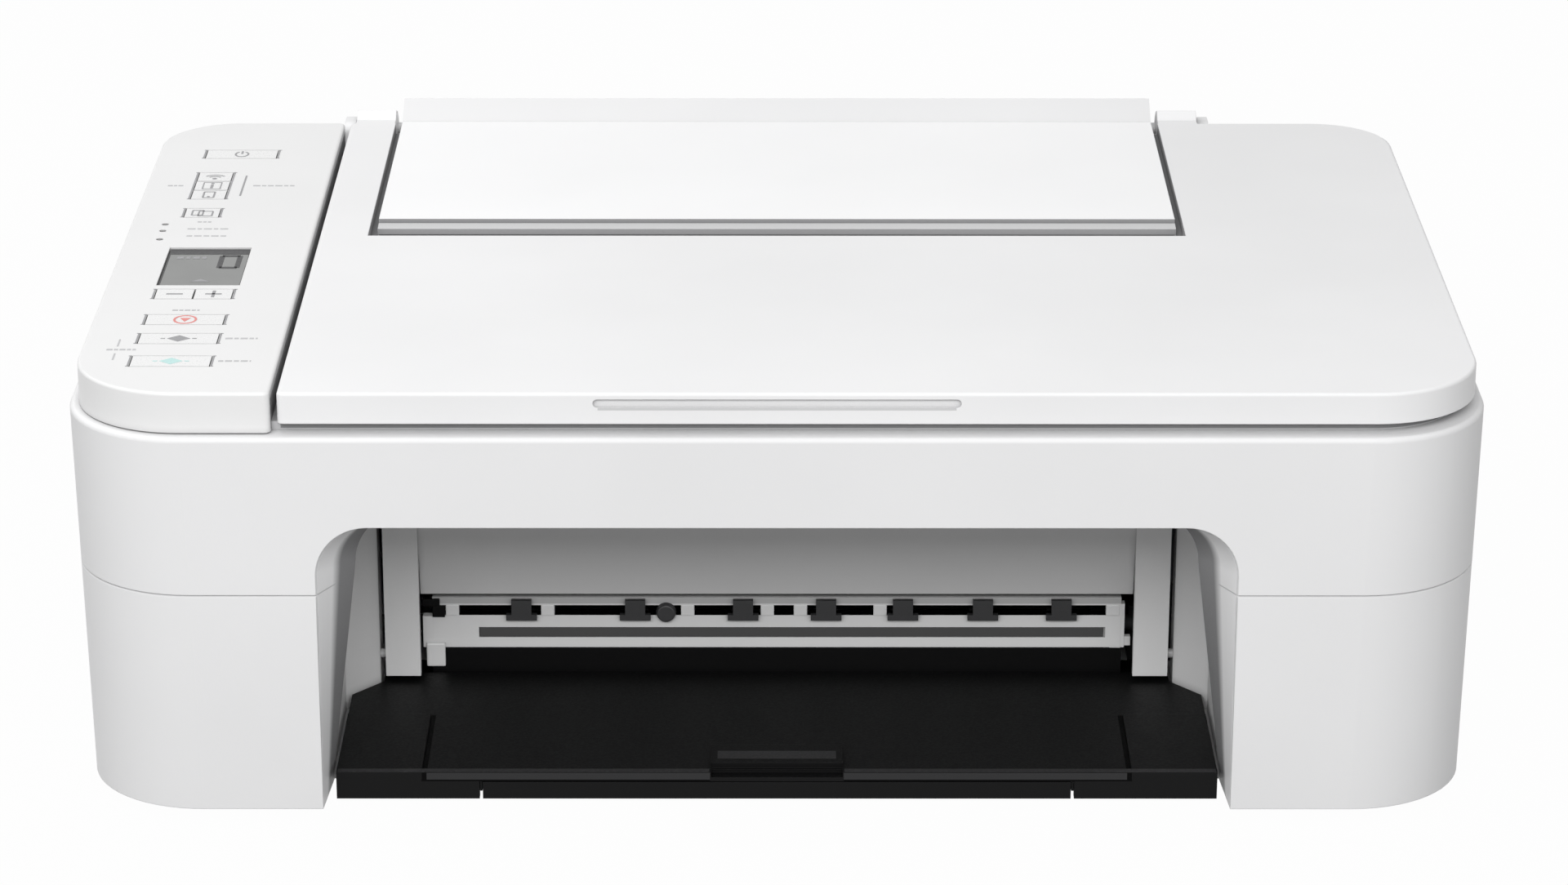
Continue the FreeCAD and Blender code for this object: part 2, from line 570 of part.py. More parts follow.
def both_sides(name, x_from, x_to, y_from, y_to, z_from, z_to):
    """A block on the right and its mirror image on the left."""
    right = box(name + "_right", x_from, x_to, y_from, y_to, z_from, z_to)
    left = box(name + "_left", f"-({x_to})", f"-({x_from})", y_from, y_to, z_from, z_to)
    return [right, left]


QUARTER_TURN = 90
FULL_TURN = 360
TURNS = {
    "x": FreeCAD.Rotation(FreeCAD.Vector(0, 1, 0), QUARTER_TURN),
    "y": FreeCAD.Rotation(FreeCAD.Vector(1, 0, 0), -QUARTER_TURN),
    "z": FreeCAD.Rotation(),
}


def rod(name, axis, radius, start, end, across, up):
    """Round bar along one axis, from start to end; the other two positions in x, y, z order."""
    item = doc.addObject("Part::Cylinder", name)
    item.Placement = FreeCAD.Placement(FreeCAD.Vector(), TURNS[axis])
    bind(item, "Radius", radius)
    bind(item, "Height", f"({end}) - ({start})")
    if axis == "x":
        place(item, start, across, up)
    elif axis == "y":
        place(item, across, start, up)
    else:
        place(item, across, up, start)
    return item


def fuse(name, items):
    """One solid out of several that touch or overlap."""
    item = doc.addObject("Part::MultiFuse", name)
    item.Shapes = items
    item.Refine = True
    return item


def group(name, items):
    """Several separate solids of the same kind."""
    item = doc.addObject("Part::Compound", name)
    item.Links = items
    return item


def cut(name, base, tools):
    """Base with the tools taken out."""
    item = doc.addObject("Part::Cut", name)
    item.Base = base
    item.Tool = tools[0] if len(tools) == 1 else fuse(name + "_tools", tools)
    return item


def new_body(name):
    """Empty body for sketched features."""
    return doc.addObject("PartDesign::Body", name)


def sketch(body, name, role, level, points):
    """Closed outline whose corners are tied to formulas, on a plane at a level along its normal."""
    item = body.newObject("Sketcher::SketchObject", name)
    plane = [feature for feature in body.Origin.OriginFeatures if feature.Role == role][0]
    item.AttachmentSupport = (plane, [""])
    item.MapMode = "FlatFace"
    bind(item, "AttachmentOffset.Base.z", level)
    count = len(points)
    reach = size("width")
    ring = []
    for index in range(count):
        angle = 2 * math.pi * index / count
        ring.append(FreeCAD.Vector(reach * math.cos(angle), reach * math.sin(angle), 0))
    for index in range(count):
        item.addGeometry(Part.LineSegment(ring[index], ring[(index + 1) % count]), False)
    for index in range(count):
        item.addConstraint(Sketcher.Constraint("Coincident", index, 2, (index + 1) % count, 1))
    for index, (across, up) in enumerate(points):
        for kind, text, number in (("DistanceX", across, ring[index].x), ("DistanceY", up, ring[index].y)):
            number_index = item.addConstraint(Sketcher.Constraint(kind, -1, 1, index, 1, number))
            bind(item, f"Constraints[{number_index}]", text)
    return item


def rectangle(x_from, x_to, y_from, y_to):
    """Corner points of a rectangle."""
    return [(x_from, y_from), (x_to, y_from), (x_to, y_to), (x_from, y_to)]


def extrude(kind, body, name, role, start, end, points):
    """Pad or pocket of an outline between two positions along the axis square to its plane."""
    if role == "XZ_Plane":
        start, end = f"-({end})", f"-({start})"
    item = body.newObject("PartDesign::" + kind, name)
    item.Profile = sketch(body, name + "_outline", role, start, points)
    bind(item, "Length", f"({end}) - ({start})")
    item.Reversed = kind == "Pocket"
    body.Tip = item
    doc.recompute()
    return item


def pad(body, name, role, start, end, points):
    """Material added between two positions."""
    return extrude("Pad", body, name, role, start, end, points)


def pocket(body, name, role, start, end, points):
    """Material taken away between two positions."""
    before = body.Tip.Shape.Volume
    item = extrude("Pocket", body, name, role, start, end, points)
    if item.Shape.Volume >= before:
        raise RuntimeError(name + " cuts nothing")
    return item


NEAR = 0.01


def is_steep(edge):
    """True for an edge that rises more than it runs."""
    bounds = edge.BoundBox
    return bounds.ZLength > bounds.XLength + bounds.YLength


def round_edges(body, name, radius, chosen, kind="Fillet"):
    """Rounded (or bevelled) edges, picked by a test on each edge of the body as it stands."""
    base = body.Tip
    picked = [f"Edge{number}" for number, edge in enumerate(base.Shape.Edges, start=1) if chosen(edge)]
    if not picked:
        raise RuntimeError(name + " finds no edge")
    item = body.newObject("PartDesign::" + kind, name)
    item.Base = (base, picked)
    bind(item, "Radius" if kind == "Fillet" else "Size", radius)
    body.Tip = item
    doc.recompute()
    return item


def level_at(height):
    """Test for the edges that lie at one height."""
    def test(edge):
        bounds = edge.BoundBox
        return abs(bounds.ZMin - height) < NEAR and abs(bounds.ZMax - height) < NEAR
    return test


CORNERS = (("front_left", -1, -1), ("front_right", 1, -1), ("rear_right", 1, 1), ("rear_left", -1, 1))


def round_corners(body, name, radii):
    """Round upright corners of a block: radii for front left, front right, rear right, rear left."""
    for (corner, x_side, y_side), radius in zip(CORNERS, radii):
        if radius is None:
            continue

        def outward(edge, x_way=x_side, y_way=y_side):
            return x_way * edge.CenterOfMass.x + y_way * edge.CenterOfMass.y

        farthest = max((edge for edge in body.Tip.Shape.Edges if is_steep(edge)), key=outward)
        round_edges(body, f"{name}_{corner}", radius, farthest.isSame)


def rounded_block(name, outline, z_from, z_to, radii):
    """Upright block over a rectangle with rounded corners."""
    body = new_body(name)
    pad(body, f"{name}_pad", "XY_Plane", z_from, z_to, outline)
    round_corners(body, f"{name}_corner", radii)
    return body


def leaning_block(name, low_lean, high_lean, z_from, z_to):
    """Block over the casing's outline whose sides lean, with rounded corners."""
    body = new_body(name)
    low_half, high_half = f"({HALF} - {low_lean})", f"({HALF} - {high_lean})"
    points = [(f"-{low_half}", z_from), (low_half, z_from), (high_half, z_to), (f"-{high_half}", z_to)]
    pad(body, f"{name}_pad", "XZ_Plane", FRONT, "case_back", points)
    round_corners(body, f"{name}_corner", case_radii("0 * wall"))
    return body


def case_radii(less):
    """Corner radii of the casing's outline, moved inwards by a distance."""
    front, rear = f"front_corner - {less}", f"rear_corner - {less}"
    return (front, front, rear, rear)


def arch_cutter():
    """Tapering space of the front opening: wide at the front face, narrower behind the surround."""
    wires = []
    radius = size("arch_corner")
    margin = size("cut_margin") / size("return_depth")
    for share in (-margin, 1 + margin):
        level = share * size("return_depth") - size("depth") / 2
        foot = size("arch_half") - share * size("return_foot")
        head = size("arch_half") - share * size("return_head")
        top = size("arch_top") - share * size("return_drop")
        low = size("foot_height") - size("cut_margin")
        shoulder = top - radius
        bend = radius * math.sqrt(2) / 2
        left_middle = FreeCAD.Vector(radius - head - bend, level, shoulder + bend)
        right_middle = FreeCAD.Vector(head - radius + bend, level, shoulder + bend)
        points = [FreeCAD.Vector(-foot, level, low), FreeCAD.Vector(-head, level, shoulder)]
        points += [FreeCAD.Vector(radius - head, level, top), FreeCAD.Vector(head - radius, level, top)]
        points += [FreeCAD.Vector(head, level, shoulder), FreeCAD.Vector(foot, level, low)]
        edges = [
            Part.LineSegment(points[0], points[1]).toShape(),
            Part.Arc(points[1], left_middle, points[2]).toShape(),
            Part.LineSegment(points[2], points[3]).toShape(),
            Part.Arc(points[3], right_middle, points[4]).toShape(),
            Part.LineSegment(points[4], points[5]).toShape(),
            Part.LineSegment(points[5], points[0]).toShape(),
        ]
        wires.append(Part.Wire(edges))
    item = doc.addObject("Part::Feature", "arch_space")
    item.Shape = Part.makeLoft(wires, True, True)
    item.Placement = FreeCAD.Placement()
    return item


ARCH = arch_cutter()




def case_inside(lean):
    """Inner outline of the casing, with its sides moved in by a lean."""
    half = f"({HALF} - {lean} - wall)"
    return rectangle(f"-{half}", half, f"{FRONT} + wall", "case_back - wall")


PILLAR_INNER = "(arch_half - return_head - cut_margin)"
PILLAR_OUTER = "(arch_half + pillar_wall)"


def rear_hole(name, x_from, x_to, z_from, z_to):
    """Block that cuts an opening in the casing's rear wall."""
    return box(name, x_from, x_to, "case_back - 2 * wall", "case_back + wall", z_from, z_to)


def lower_case():
    """Open-topped tub with two front pillars, a paper window and two socket holes at the rear."""
    outer = leaning_block("lower_outer", "side_lean", "seam_lean", "foot_height", "seam_height")
    round_edges(outer, "lower_seam", "seam_bevel", level_at(size("seam_height")), "Chamfer")
    inside = case_inside("side_lean")
    hollow = rounded_block("lower_hollow", inside, FLOOR, "seam_height + cut_margin", case_radii("wall"))
    shell = cut("lower_shell", outer, [hollow])
    bevel_low = "(seam_height - seam_bevel)"
    pillars = both_sides(
        "lower_pillar", PILLAR_INNER, PILLAR_OUTER, FRONT, RETURN_BACK, "foot_height", bevel_low
    )
    pillars += both_sides(
        "lower_pillar_head", "arch_half + seam_bevel", PILLAR_OUTER, f"{FRONT} + seam_bevel", RETURN_BACK,
        bevel_low, "seam_height",
    )
    solid = fuse("lower_solid", [shell] + pillars)
    tools = [
        ARCH,
        rear_hole(
            "lower_window", "-window_half", "window_half", "seam_height - window_sill", "seam_height + wall"
        ),
        rear_hole(
            "inlet_hole", "inlet_place - inlet_wide / 2", "inlet_place + inlet_wide / 2", "inlet_low",
            "inlet_high"
        ),
        rear_hole(
            "port_hole", "-port_place - port_wide / 2", "port_wide / 2 - port_place", "port_low",
            "port_high",
        ),
    ]
    tools += screw_holes("lower_case", "foot_height - wall", f"{FLOOR} + wall")
    return keep("lower_case", cut("lower_case", solid, tools))


def screw_places():
    """Positions of the four chassis screws."""
    across = f"({SIDE_PLATE} - chassis_foot / 2)"
    for sign, side in (("-", "left"), ("", "right")):
        for place_name in ("front", "back"):
            yield f"{side}_{place_name}", f"{sign}{across}", f"screw_{place_name}"


def screw_holes(owner, low, high):
    """Round holes for the chassis screws."""
    holes = []
    for place_name, across, along in screw_places():
        name = f"{owner}_hole_{place_name}"
        holes.append(rod(name, "z", "screw_radius + seat_gap", low, high, across, along))
    return holes


def upper_case():
    """Ring above the joint: arch head at the front, ledge for the scanner on top, window behind."""
    outer = leaning_block("upper_outer", "seam_lean", "0 * wall", "seam_height", "rim_height")
    round_edges(outer, "upper_rim", "rim_edge", level_at(size("rim_height")))
    hollow = rounded_block(
        "upper_hollow", case_inside("seam_lean"), "seam_height - cut_margin", "rim_height - wall",
        case_radii("wall"),
    )
    opening = rectangle(
        f"shoulder_width - {HALF}", f"{HALF} - shoulder_width",
        f"{FRONT} + shoulder_width", "case_back - shoulder_rear",
    )
    radii = case_radii("shoulder_width")
    ledge = rounded_block("upper_opening", opening, "rim_height - 2 * wall", "rim_height + cut_margin", radii)
    shell = cut("upper_shell", outer, [hollow, ledge])
    head = "(arch_top + lintel_height)"
    pieces = both_sides("upper_pillar", PILLAR_INNER, PILLAR_OUTER, FRONT, RETURN_BACK, "seam_height", head)
    low = "arch_top - arch_corner - return_drop"
    pieces.append(box("upper_lintel", "-arch_half", "arch_half", FRONT, RETURN_BACK, low, head))
    solid = fuse("upper_solid", [shell] + pieces)
    top = "rim_height - wall - window_head"
    window = rear_hole("upper_window", "-window_half", "window_half", "seam_height - wall", top)
    return keep("upper_case", cut("upper_case", solid, [ARCH, window]))


def rear_housing():
    """Box behind the casing round the paper chute, open on top, with two hinge posts."""
    body = new_body("rear_housing_body")
    outline = rectangle("-housing_half", "housing_half", "case_back", REAR)
    pad(body, "housing_block", "XY_Plane", "foot_height", "housing_top", outline)
    round_corners(body, "housing_corner", (None, None, "housing_corner", "housing_corner"))
    hollow = rectangle("wall - housing_half", "housing_half - wall", "case_back - wall", f"{REAR} - wall")
    pocket(body, "housing_hollow", "XY_Plane", FLOOR, "housing_top - wall", hollow)
    opening = rectangle("-recess_half", "recess_half", "case_back - wall", "hump_clearance")
    pocket(body, "housing_opening", "XY_Plane", "housing_top - 2 * wall", "housing_top + wall", opening)
    post_front, post_back, post_top = size("post_front"), size("post_back"), size("post_top")
    for sign, side in (("-", "left"), ("", "right")):
        span = rectangle(f"{sign}post_inner", f"{sign}housing_half", "post_front", "post_back")
        pad(body, f"hinge_post_{side}", "XY_Plane", "housing_top - wall", "post_top", span)

    def post_edges(edge):
        bounds = edge.BoundBox
        along = bounds.YLength < NEAR and bounds.ZLength < NEAR and abs(bounds.ZMax - post_top) < NEAR
        return along and (abs(bounds.YMax - post_front) < NEAR or abs(bounds.YMax - post_back) < NEAR)

    round_edges(body, "post_tops", "post_round", post_edges)
    bore = rod("post_bore", "x", "pin_radius + running_gap", "-width / 2", HALF, "hinge_back", "hinge_height")
    return keep("rear_housing", cut("rear_housing", body, [bore]))


def key_list():
    """Every key of the panel: name, left edge, width, place, and which sides carry its flange."""
    left = f"(key_left - {HALF})"
    keys = [
        ("power_button", left, "key_wide", "power_place", "sides"),
        ("network_button", left, "key_small", "stack_place + stack_pitch", "sides"),
        ("info_button", left, "key_small", "stack_place", "sides"),
        ("direct_button", left, "key_small", "stack_place - stack_pitch", "sides"),
        ("paper_button", left, "key_small", "single_place", "sides"),
        ("copies_less_button", left, "key_pair", "pair_place", "ends"),
        ("copies_more_button", f"({left} + key_wide - key_pair)", "key_pair", "pair_place", "ends"),
        ("stop_button", left, "key_wide", "stop_place", "sides"),
        ("black_start_button", left, "key_wide", "black_place", "sides"),
        ("color_start_button", left, "key_wide", "colour_place", "sides"),
    ]
    return keys


def lamp_rods(name, radius, low, high):
    """Three upright round bars at the status lamps' places."""
    bars = []
    for order in ("first", "second", "third"):
        item = rod(f"{name}_{order}", "z", radius, low, high, f"lamp_side - {HALF}", f"lamp_{order}")
        bars.append(item)
    return bars


def lid_radii(less, wide_side):
    """Corner radii of the lid or the panel: wide on the outer side, small beside the slot."""
    front, rear = f"front_corner - lid_front - {less}", f"rear_corner - lid_front - {less}"
    slot = "small_corner" if less == "0 * wall" else None
    if wide_side == "left":
        return (front, slot, slot, rear)
    return (slot, front, rear, slot)


def control_panel():
    """Shell left of the lid with openings for keys, display and lamps, on four bosses."""
    outline = rectangle(PANEL_LEFT, PANEL_RIGHT, LID_FRONT, LID_REAR)
    outer = rounded_block("panel_outer", outline, "panel_bottom", "top_height", lid_radii("0 * wall", "left"))
    round_edges(outer, "panel_edge", "lid_edge", level_at(size("top_height")))
    outline = rectangle(
        f"{PANEL_LEFT} + lid_wall", f"{PANEL_RIGHT} - lid_wall", f"{LID_FRONT} + lid_wall",
        f"{LID_REAR} - lid_wall"
    )
    radii = lid_radii("lid_wall", "left")
    hollow = rounded_block("panel_hollow", outline, "panel_bottom - wall", "top_height - lid_wall", radii)
    shell = cut("panel_shell", outer, [hollow])
    low, high = "top_height - 2 * lid_wall", "top_height + lid_wall"
    holes = lamp_rods("lamp_hole", "lamp_radius + key_gap", low, high)
    for name, x_from, wide, place_text, _ in key_list():
        front, back = f"{place_text} - key_depth / 2 - key_gap", f"{place_text} + key_depth / 2 + key_gap"
        holes.append(
            box(f"{name}_hole", f"{x_from} - key_gap", f"{x_from} + {wide} + key_gap", front, back, low, high)
        )
    left, right = f"display_left - key_gap - {HALF}", f"display_left + display_wide + key_gap - {HALF}"
    holes.append(
        box(
            "panel_wall_relief", f"{PANEL_RIGHT} - 2 * lid_wall", f"{PANEL_RIGHT} + lid_wall",
            f"{FRONT} + scan_plate_inset - key_gap", f"{LID_REAR} + lid_wall", "panel_bottom - wall",
            "scan_plate_top",
        )
    )
    holes.append(
        box("display_hole", left, right, "display_front - key_gap", "display_back + key_gap", low, high)
    )
    bosses = []
    for name, across, along in (
        ("left_front", f"{PANEL_LEFT} + peg_side", f"{LID_FRONT} / 3"),
        ("left_rear", f"{PANEL_LEFT} + peg_side", f"{LID_REAR} / 2"),
        ("right_front", f"{PANEL_RIGHT} - peg_side", f"{LID_FRONT} + board_front / 2"),
        ("right_rear", f"{PANEL_RIGHT} - peg_side", f"{LID_REAR} - board_rear / 2"),
    ):
        bosses.append(
            rod(f"boss_{name}", "z", "peg_radius", "scan_plate_top", "top_height - lid_wall", across, along)
        )
    solid = fuse("control_panel_solid", [shell] + bosses)
    return keep("control_panel", cut("control_panel", solid, holes))


def panel_keys():
    """Ten push keys, flush with the panel, each held in by a flange under the shell."""
    for name, x_from, wide, place_text, flange in key_list():
        front = f"{place_text} - key_depth / 2"
        back = f"{place_text} + key_depth / 2"
        cap = box(
            f"{name}_cap", x_from, f"{x_from} + {wide}", front, back, f"{BOARD_TOP} + key_room",
            "top_height",
        )
        side_out = "flange_out" if flange == "sides" else "0 * flange_out"
        end_out = "flange_out" if flange == "ends" else "0 * flange_out"
        rim = box(
            f"{name}_flange", f"{x_from} - {side_out}", f"{x_from} + {wide} + {side_out}",
            f"{front} - {end_out}", f"{back} + {end_out}", "flange_low", "flange_high",
        )
        keep(name, fuse(name, [cap, rim]))


def panel_inside():
    """Panel board, display module standing on it, and three lamps."""
    board = box(
        "panel_board", f"{PANEL_LEFT} + board_side", f"{PANEL_RIGHT} - board_side",
        f"{LID_FRONT} + board_front", f"{LID_REAR} - board_rear", BOARD_LOW, BOARD_TOP,
    )
    keep("panel_board", board)
    display = box(
        "lcd_module", f"display_left - {HALF}", f"display_left + display_wide - {HALF}",
        "display_front", "display_back", BOARD_TOP, "top_height - display_sunk",
    )
    keep("lcd_module", display)
    keep("status_leds", group("status_leds", lamp_rods("lamp", "lamp_radius", BOARD_TOP, "top_height")))


def lid_arms():
    """Two humped arms behind the lid, one at each end of the recess, that turn on the hinge pins."""
    front = f"{LID_REAR} - lid_wall"
    points = [
        (front, "hinge_height - arm_radius"),
        (front, "top_height"),
        ("case_back", "top_height"),
        ("hinge_back - arm_crest", "top_height + arm_rise"),
        ("hinge_back", "hinge_height + arm_crown * arm_radius"),
        ("hinge_back + arm_radius", "hinge_height + arm_slant * arm_radius"),
        ("hinge_back + arm_back * arm_radius", "hinge_height"),
        ("hinge_back + arm_slant * arm_radius", "hinge_height - arm_slant * arm_radius"),
        ("hinge_back", "hinge_height - arm_radius"),
    ]
    arms = []
    for side, start, end in (("left", "-arm_outer", "-arm_inner"), ("right", "arm_inner", "arm_outer")):
        body = new_body(f"lid_arm_{side}")
        pad(body, f"lid_arm_{side}_pad", "YZ_Plane", start, end, points)
        arms.append(body)
    return arms


def document_lid():
    """Shallow lid with a recess for the paper support, a grip groove and two hinge arms."""
    outline = rectangle(LID_LEFT, LID_RIGHT, LID_FRONT, LID_REAR)
    outer = rounded_block("lid_outer", outline, "lid_bottom", "top_height", lid_radii("0 * wall", "right"))
    round_edges(outer, "lid_edge_top", "lid_edge", level_at(size("top_height")))
    outline = rectangle(
        f"{LID_LEFT} + lid_wall", f"{LID_RIGHT} - lid_wall", f"{LID_FRONT} + lid_wall",
        f"{LID_REAR} - lid_wall"
    )
    radii = lid_radii("lid_wall", "right")
    hollow = rounded_block("lid_hollow", outline, "lid_bottom - wall", "recess_floor - lid_wall", radii)
    deep_top = "top_height - lid_wall"
    spaces = [
        hollow,
        box(
            "lid_deep_front", f"{LID_LEFT} + lid_wall", f"{LID_RIGHT} - front_corner",
            f"{LID_FRONT} + lid_wall", "recess_front - lid_wall", "lid_bottom", deep_top,
        ),
        box(
            "lid_deep_right", "recess_half + lid_wall", f"{LID_RIGHT} - rear_corner",
            "recess_front - 2 * lid_wall", f"{LID_REAR} - rear_corner", "lid_bottom", deep_top,
        ),
    ]
    shell = cut("lid_shell", outer, [fuse("lid_spaces", spaces)])
    recess = box(
        "lid_recess", "-recess_half", "recess_half", "recess_front", f"{LID_REAR} + cut_margin",
        "recess_floor", "top_height + cut_margin",
    )
    solid = fuse("document_lid_solid", [shell] + lid_arms())
    grip_radius = "(grip_high - grip_low) / 2"
    grip_middle = "(grip_high + grip_low) / 2"
    grip_end = f"(grip_half - {grip_radius})"
    tools = [
        recess,
        rod("lid_bore", "x", "pin_radius + running_gap", "-width / 2", HALF, "hinge_back", "hinge_height"),
        box(
            "grip_groove", f"-{grip_end}", grip_end, f"{LID_FRONT} - cut_margin", f"{LID_FRONT} + grip_depth",
            "grip_low", "grip_high",
        ),
    ]
    for sign, side in (("-", "left"), ("", "right")):
        tools.append(
            rod(
                f"grip_end_{side}", "y", grip_radius, f"{LID_FRONT} - cut_margin",
                f"{LID_FRONT} + grip_depth",
                f"{sign}{grip_end}", grip_middle,
            )
        )
    return keep("document_lid", cut("document_lid", solid, tools))


def lid_pad():
    """White backing that presses the page onto the glass."""
    pad_box = box(
        "lid_pad", f"{LID_LEFT} + pad_left", f"{LID_RIGHT} - pad_right", f"{LID_FRONT} + pad_front",
        f"{LID_REAR} - pad_rear", "pad_bottom", "recess_floor - lid_wall",
    )
    return keep("lid_pad", pad_box)


def paper_support():
    """Flap lying in the lid's recess: lip, flat plate, rising rear hump, and a pin at each end."""
    body = new_body("paper_support_body")
    lip_front = "(recess_front + support_front)"
    lip_back = f"({lip_front} + support_lip_length)"
    axis_y, axis_z = "hinge_back", "hinge_height"
    points = [
        (lip_front, "support_bottom"),
        (lip_front, "support_lip"),
        (lip_back, "support_lip_rear"),
        (lip_back, "support_lip"),
        (f"{lip_back} + support_groove", "support_lip"),
        (f"{lip_back} + support_groove", "top_height"),
        ("support_bend", "top_height"),
        (axis_y, "crest_height"),
        (f"{axis_y} + hump_near * crest_reach", f"{axis_z} + hump_far * crest_reach"),
        (f"{axis_y} + hump_far * crest_reach", f"{axis_z} + hump_near * crest_reach"),
        (f"{axis_y} + crest_reach", axis_z),
        (f"{axis_y} + hump_far * crest_reach", f"{axis_z} - hump_near * crest_reach"),
        (f"{axis_y} + hump_end * crest_reach", f"{axis_z} - hump_low * crest_reach"),
        (f"{axis_y} - hump_near * crest_reach", f"{axis_z} - hump_end * crest_reach"),
        ("support_bend", "support_bottom"),
    ]
    half = "(recess_half - support_side)"
    pad(body, "support_plate", "YZ_Plane", f"-{half}", half, points)
    pin = rod("support_pin", "x", "pin_radius", "-housing_half", "housing_half", axis_y, axis_z)
    return keep("paper_support", fuse("paper_support", [body, pin]))


def scanner():
    """Scanner tub hanging in the upper case, the glass in its plate, and the scan bar under it."""
    plate = rectangle(
        f"scan_plate_inset - {HALF}", f"{HALF} - scan_plate_inset",
        f"{FRONT} + scan_plate_inset", "case_back - scan_plate_rear",
    )
    body = rounded_block(
        "scanner_plate", plate, "rim_height", "scan_plate_top", case_radii("scan_plate_inset")
    )
    tub_right, tub_front = f"({HALF} - tub_right)", f"({FRONT} + tub_front)"
    tub_rear = "(case_back - tub_rear)"
    outer = rectangle(TUB_LEFT, tub_right, tub_front, tub_rear)
    tub = rounded_block(
        "scanner_tub", outer, "tub_bottom", "rim_height", (None, "tub_corner", "tub_corner", None)
    )
    inner = rectangle(
        f"{TUB_LEFT} + tub_wall", f"{tub_right} - tub_corner", f"{tub_front} + tub_wall",
        f"{tub_rear} - tub_wall"
    )
    pocket(tub, "tub_hollow", "XY_Plane", "tub_bottom + tub_wall", "rim_height + wall", inner)
    glass_left = f"({LID_LEFT} + glass_left)"
    glass_right = f"({glass_left} + glass_length)"
    glass_front = f"({FRONT} + glass_front)"
    glass_back = f"({glass_front} + glass_depth)"
    seat = rectangle(
        f"{glass_left} - glass_gap", f"{glass_right} + glass_gap", f"{glass_front} - glass_gap",
        f"{glass_back} + glass_gap"
    )
    pocket(body, "glass_seat", "XY_Plane", "scan_plate_top - glass_thick", "scan_plate_top + wall", seat)
    view = rectangle(
        f"{glass_left} + glass_ledge", f"{glass_right} - glass_ledge",
        f"{glass_front} + glass_ledge", f"{glass_back} - glass_ledge",
    )
    pocket(body, "glass_window", "XY_Plane", "rim_height - wall", "scan_plate_top", view)
    rib = rectangle(
        f"{TUB_LEFT} + tub_wall / 2", f"{tub_right} - tub_corner / 2", "-rib_width / 2", "rib_width / 2"
    )
    pad(tub, "rail_rib", "XY_Plane", "tub_bottom + tub_wall / 2", "tub_bottom + tub_wall + rib_height", rib)
    pegs = []
    peg_columns = (
        ("left", f"{PANEL_LEFT} + board_side + peg_radius"),
        ("right", f"{PANEL_RIGHT} - board_side - peg_radius"),
    )
    peg_rows = (
        ("front", f"{LID_FRONT} + board_front + 2 * peg_radius"),
        ("rear", f"{LID_REAR} - board_rear - peg_radius"),
    )
    for name, across in peg_columns:
        for end, along in peg_rows:
            pegs.append(rod(f"peg_{name}_{end}", "z", "peg_radius", "rim_height", BOARD_LOW, across, along))
    keep("scanner_frame", fuse("scanner_frame", [body, tub] + pegs))
    glass = box(
        "scanner_glass", glass_left, glass_right, glass_front, glass_back, "scan_plate_top - glass_thick",
        "scan_plate_top"
    )
    keep("scanner_glass", glass)
    bar_low = "(tub_bottom + tub_wall + rib_height + rib_gap)"
    bar = box(
        "scan_bar", f"{TUB_LEFT} + tub_wall + bar_end", f"{TUB_LEFT} + tub_wall + bar_end + bar_width",
        f"{tub_front} + tub_wall + bar_end", f"{glass_back} + bar_end", bar_low, f"{bar_low} + bar_height",
    )
    keep("scan_bar", bar)


def side_walls():
    """Bay walls behind the surround; each turns inwards to the cartridge cover and carries its pin."""
    for sign, side in (("-", "left"), ("", "right")):
        body = new_body(f"side_wall_{side}_body")
        outer = "(liner_half + liner_thick)"
        neck_outer = "(liner_neck + liner_thick)"
        points = [
            (f"{sign}liner_half", f"{RETURN_BACK} + liner_gap"),
            (f"{sign}liner_half", "liner_turn"),
            (f"{sign}liner_neck", "liner_neck_front"),
            (f"{sign}liner_neck", "liner_back"),
            (f"{sign}{neck_outer}", "liner_back"),
            (f"{sign}{neck_outer}", "liner_neck_front + liner_thick / 2"),
            (f"{sign}{outer}", "liner_turn + liner_thick / 2"),
            (f"{sign}{outer}", f"{RETURN_BACK} + liner_gap"),
        ]
        pad(body, f"side_wall_{side}_plate", "XY_Plane", FLOOR, "liner_top", points)
        bore = rod(
            f"cover_bore_{side}", "x", "cover_pin + running_gap", "-arch_half", "arch_half",
            "cover_axis_back", "cover_axis_height",
        )
        keep(f"side_wall_{side}", cut(f"side_wall_{side}", body, [bore]))


def cartridge_cover():
    """Inner flap over the cartridges: flat head, middle that leans back, two legs with pins."""
    back = "(cover_front + cover_thick)"
    head = box("cover_head", "-cover_half", "cover_half", "cover_front", back, "cover_bend", "cover_top")
    legs = both_sides(
        "cover_leg_piece", "cover_leg", "cover_half", "cover_front", back, "cover_foot", "cover_bend"
    )
    body = new_body("cover_middle_body")
    points = [
        ("cover_front", "cover_bend"),
        ("cover_front + cover_lean", "cover_low"),
        (f"{back} + cover_lean", "cover_low"),
        (back, "cover_bend"),
    ]
    pad(body, "cover_middle", "YZ_Plane", "-cover_leg", "cover_leg", points)
    lugs = both_sides(
        "cover_lug_piece", "cover_half - cover_lug", "cover_half", "cover_front",
        "cover_axis_back + cover_lug_half",
        "cover_axis_height - cover_lug_half", "cover_axis_height + cover_lug_half",
    )
    pins = []
    for sign, side, start, end in (
        ("-", "left", "-liner_neck - liner_thick", "cover_lug - cover_half"),
        ("", "right", "cover_half - cover_lug", "liner_neck + liner_thick"),
    ):
        pins.append(
            rod(f"cover_pin_{side}", "x", "cover_pin", start, end, "cover_axis_back", "cover_axis_height")
        )
    return keep("cartridge_cover", fuse("cartridge_cover", [head, body] + legs + lugs + pins))


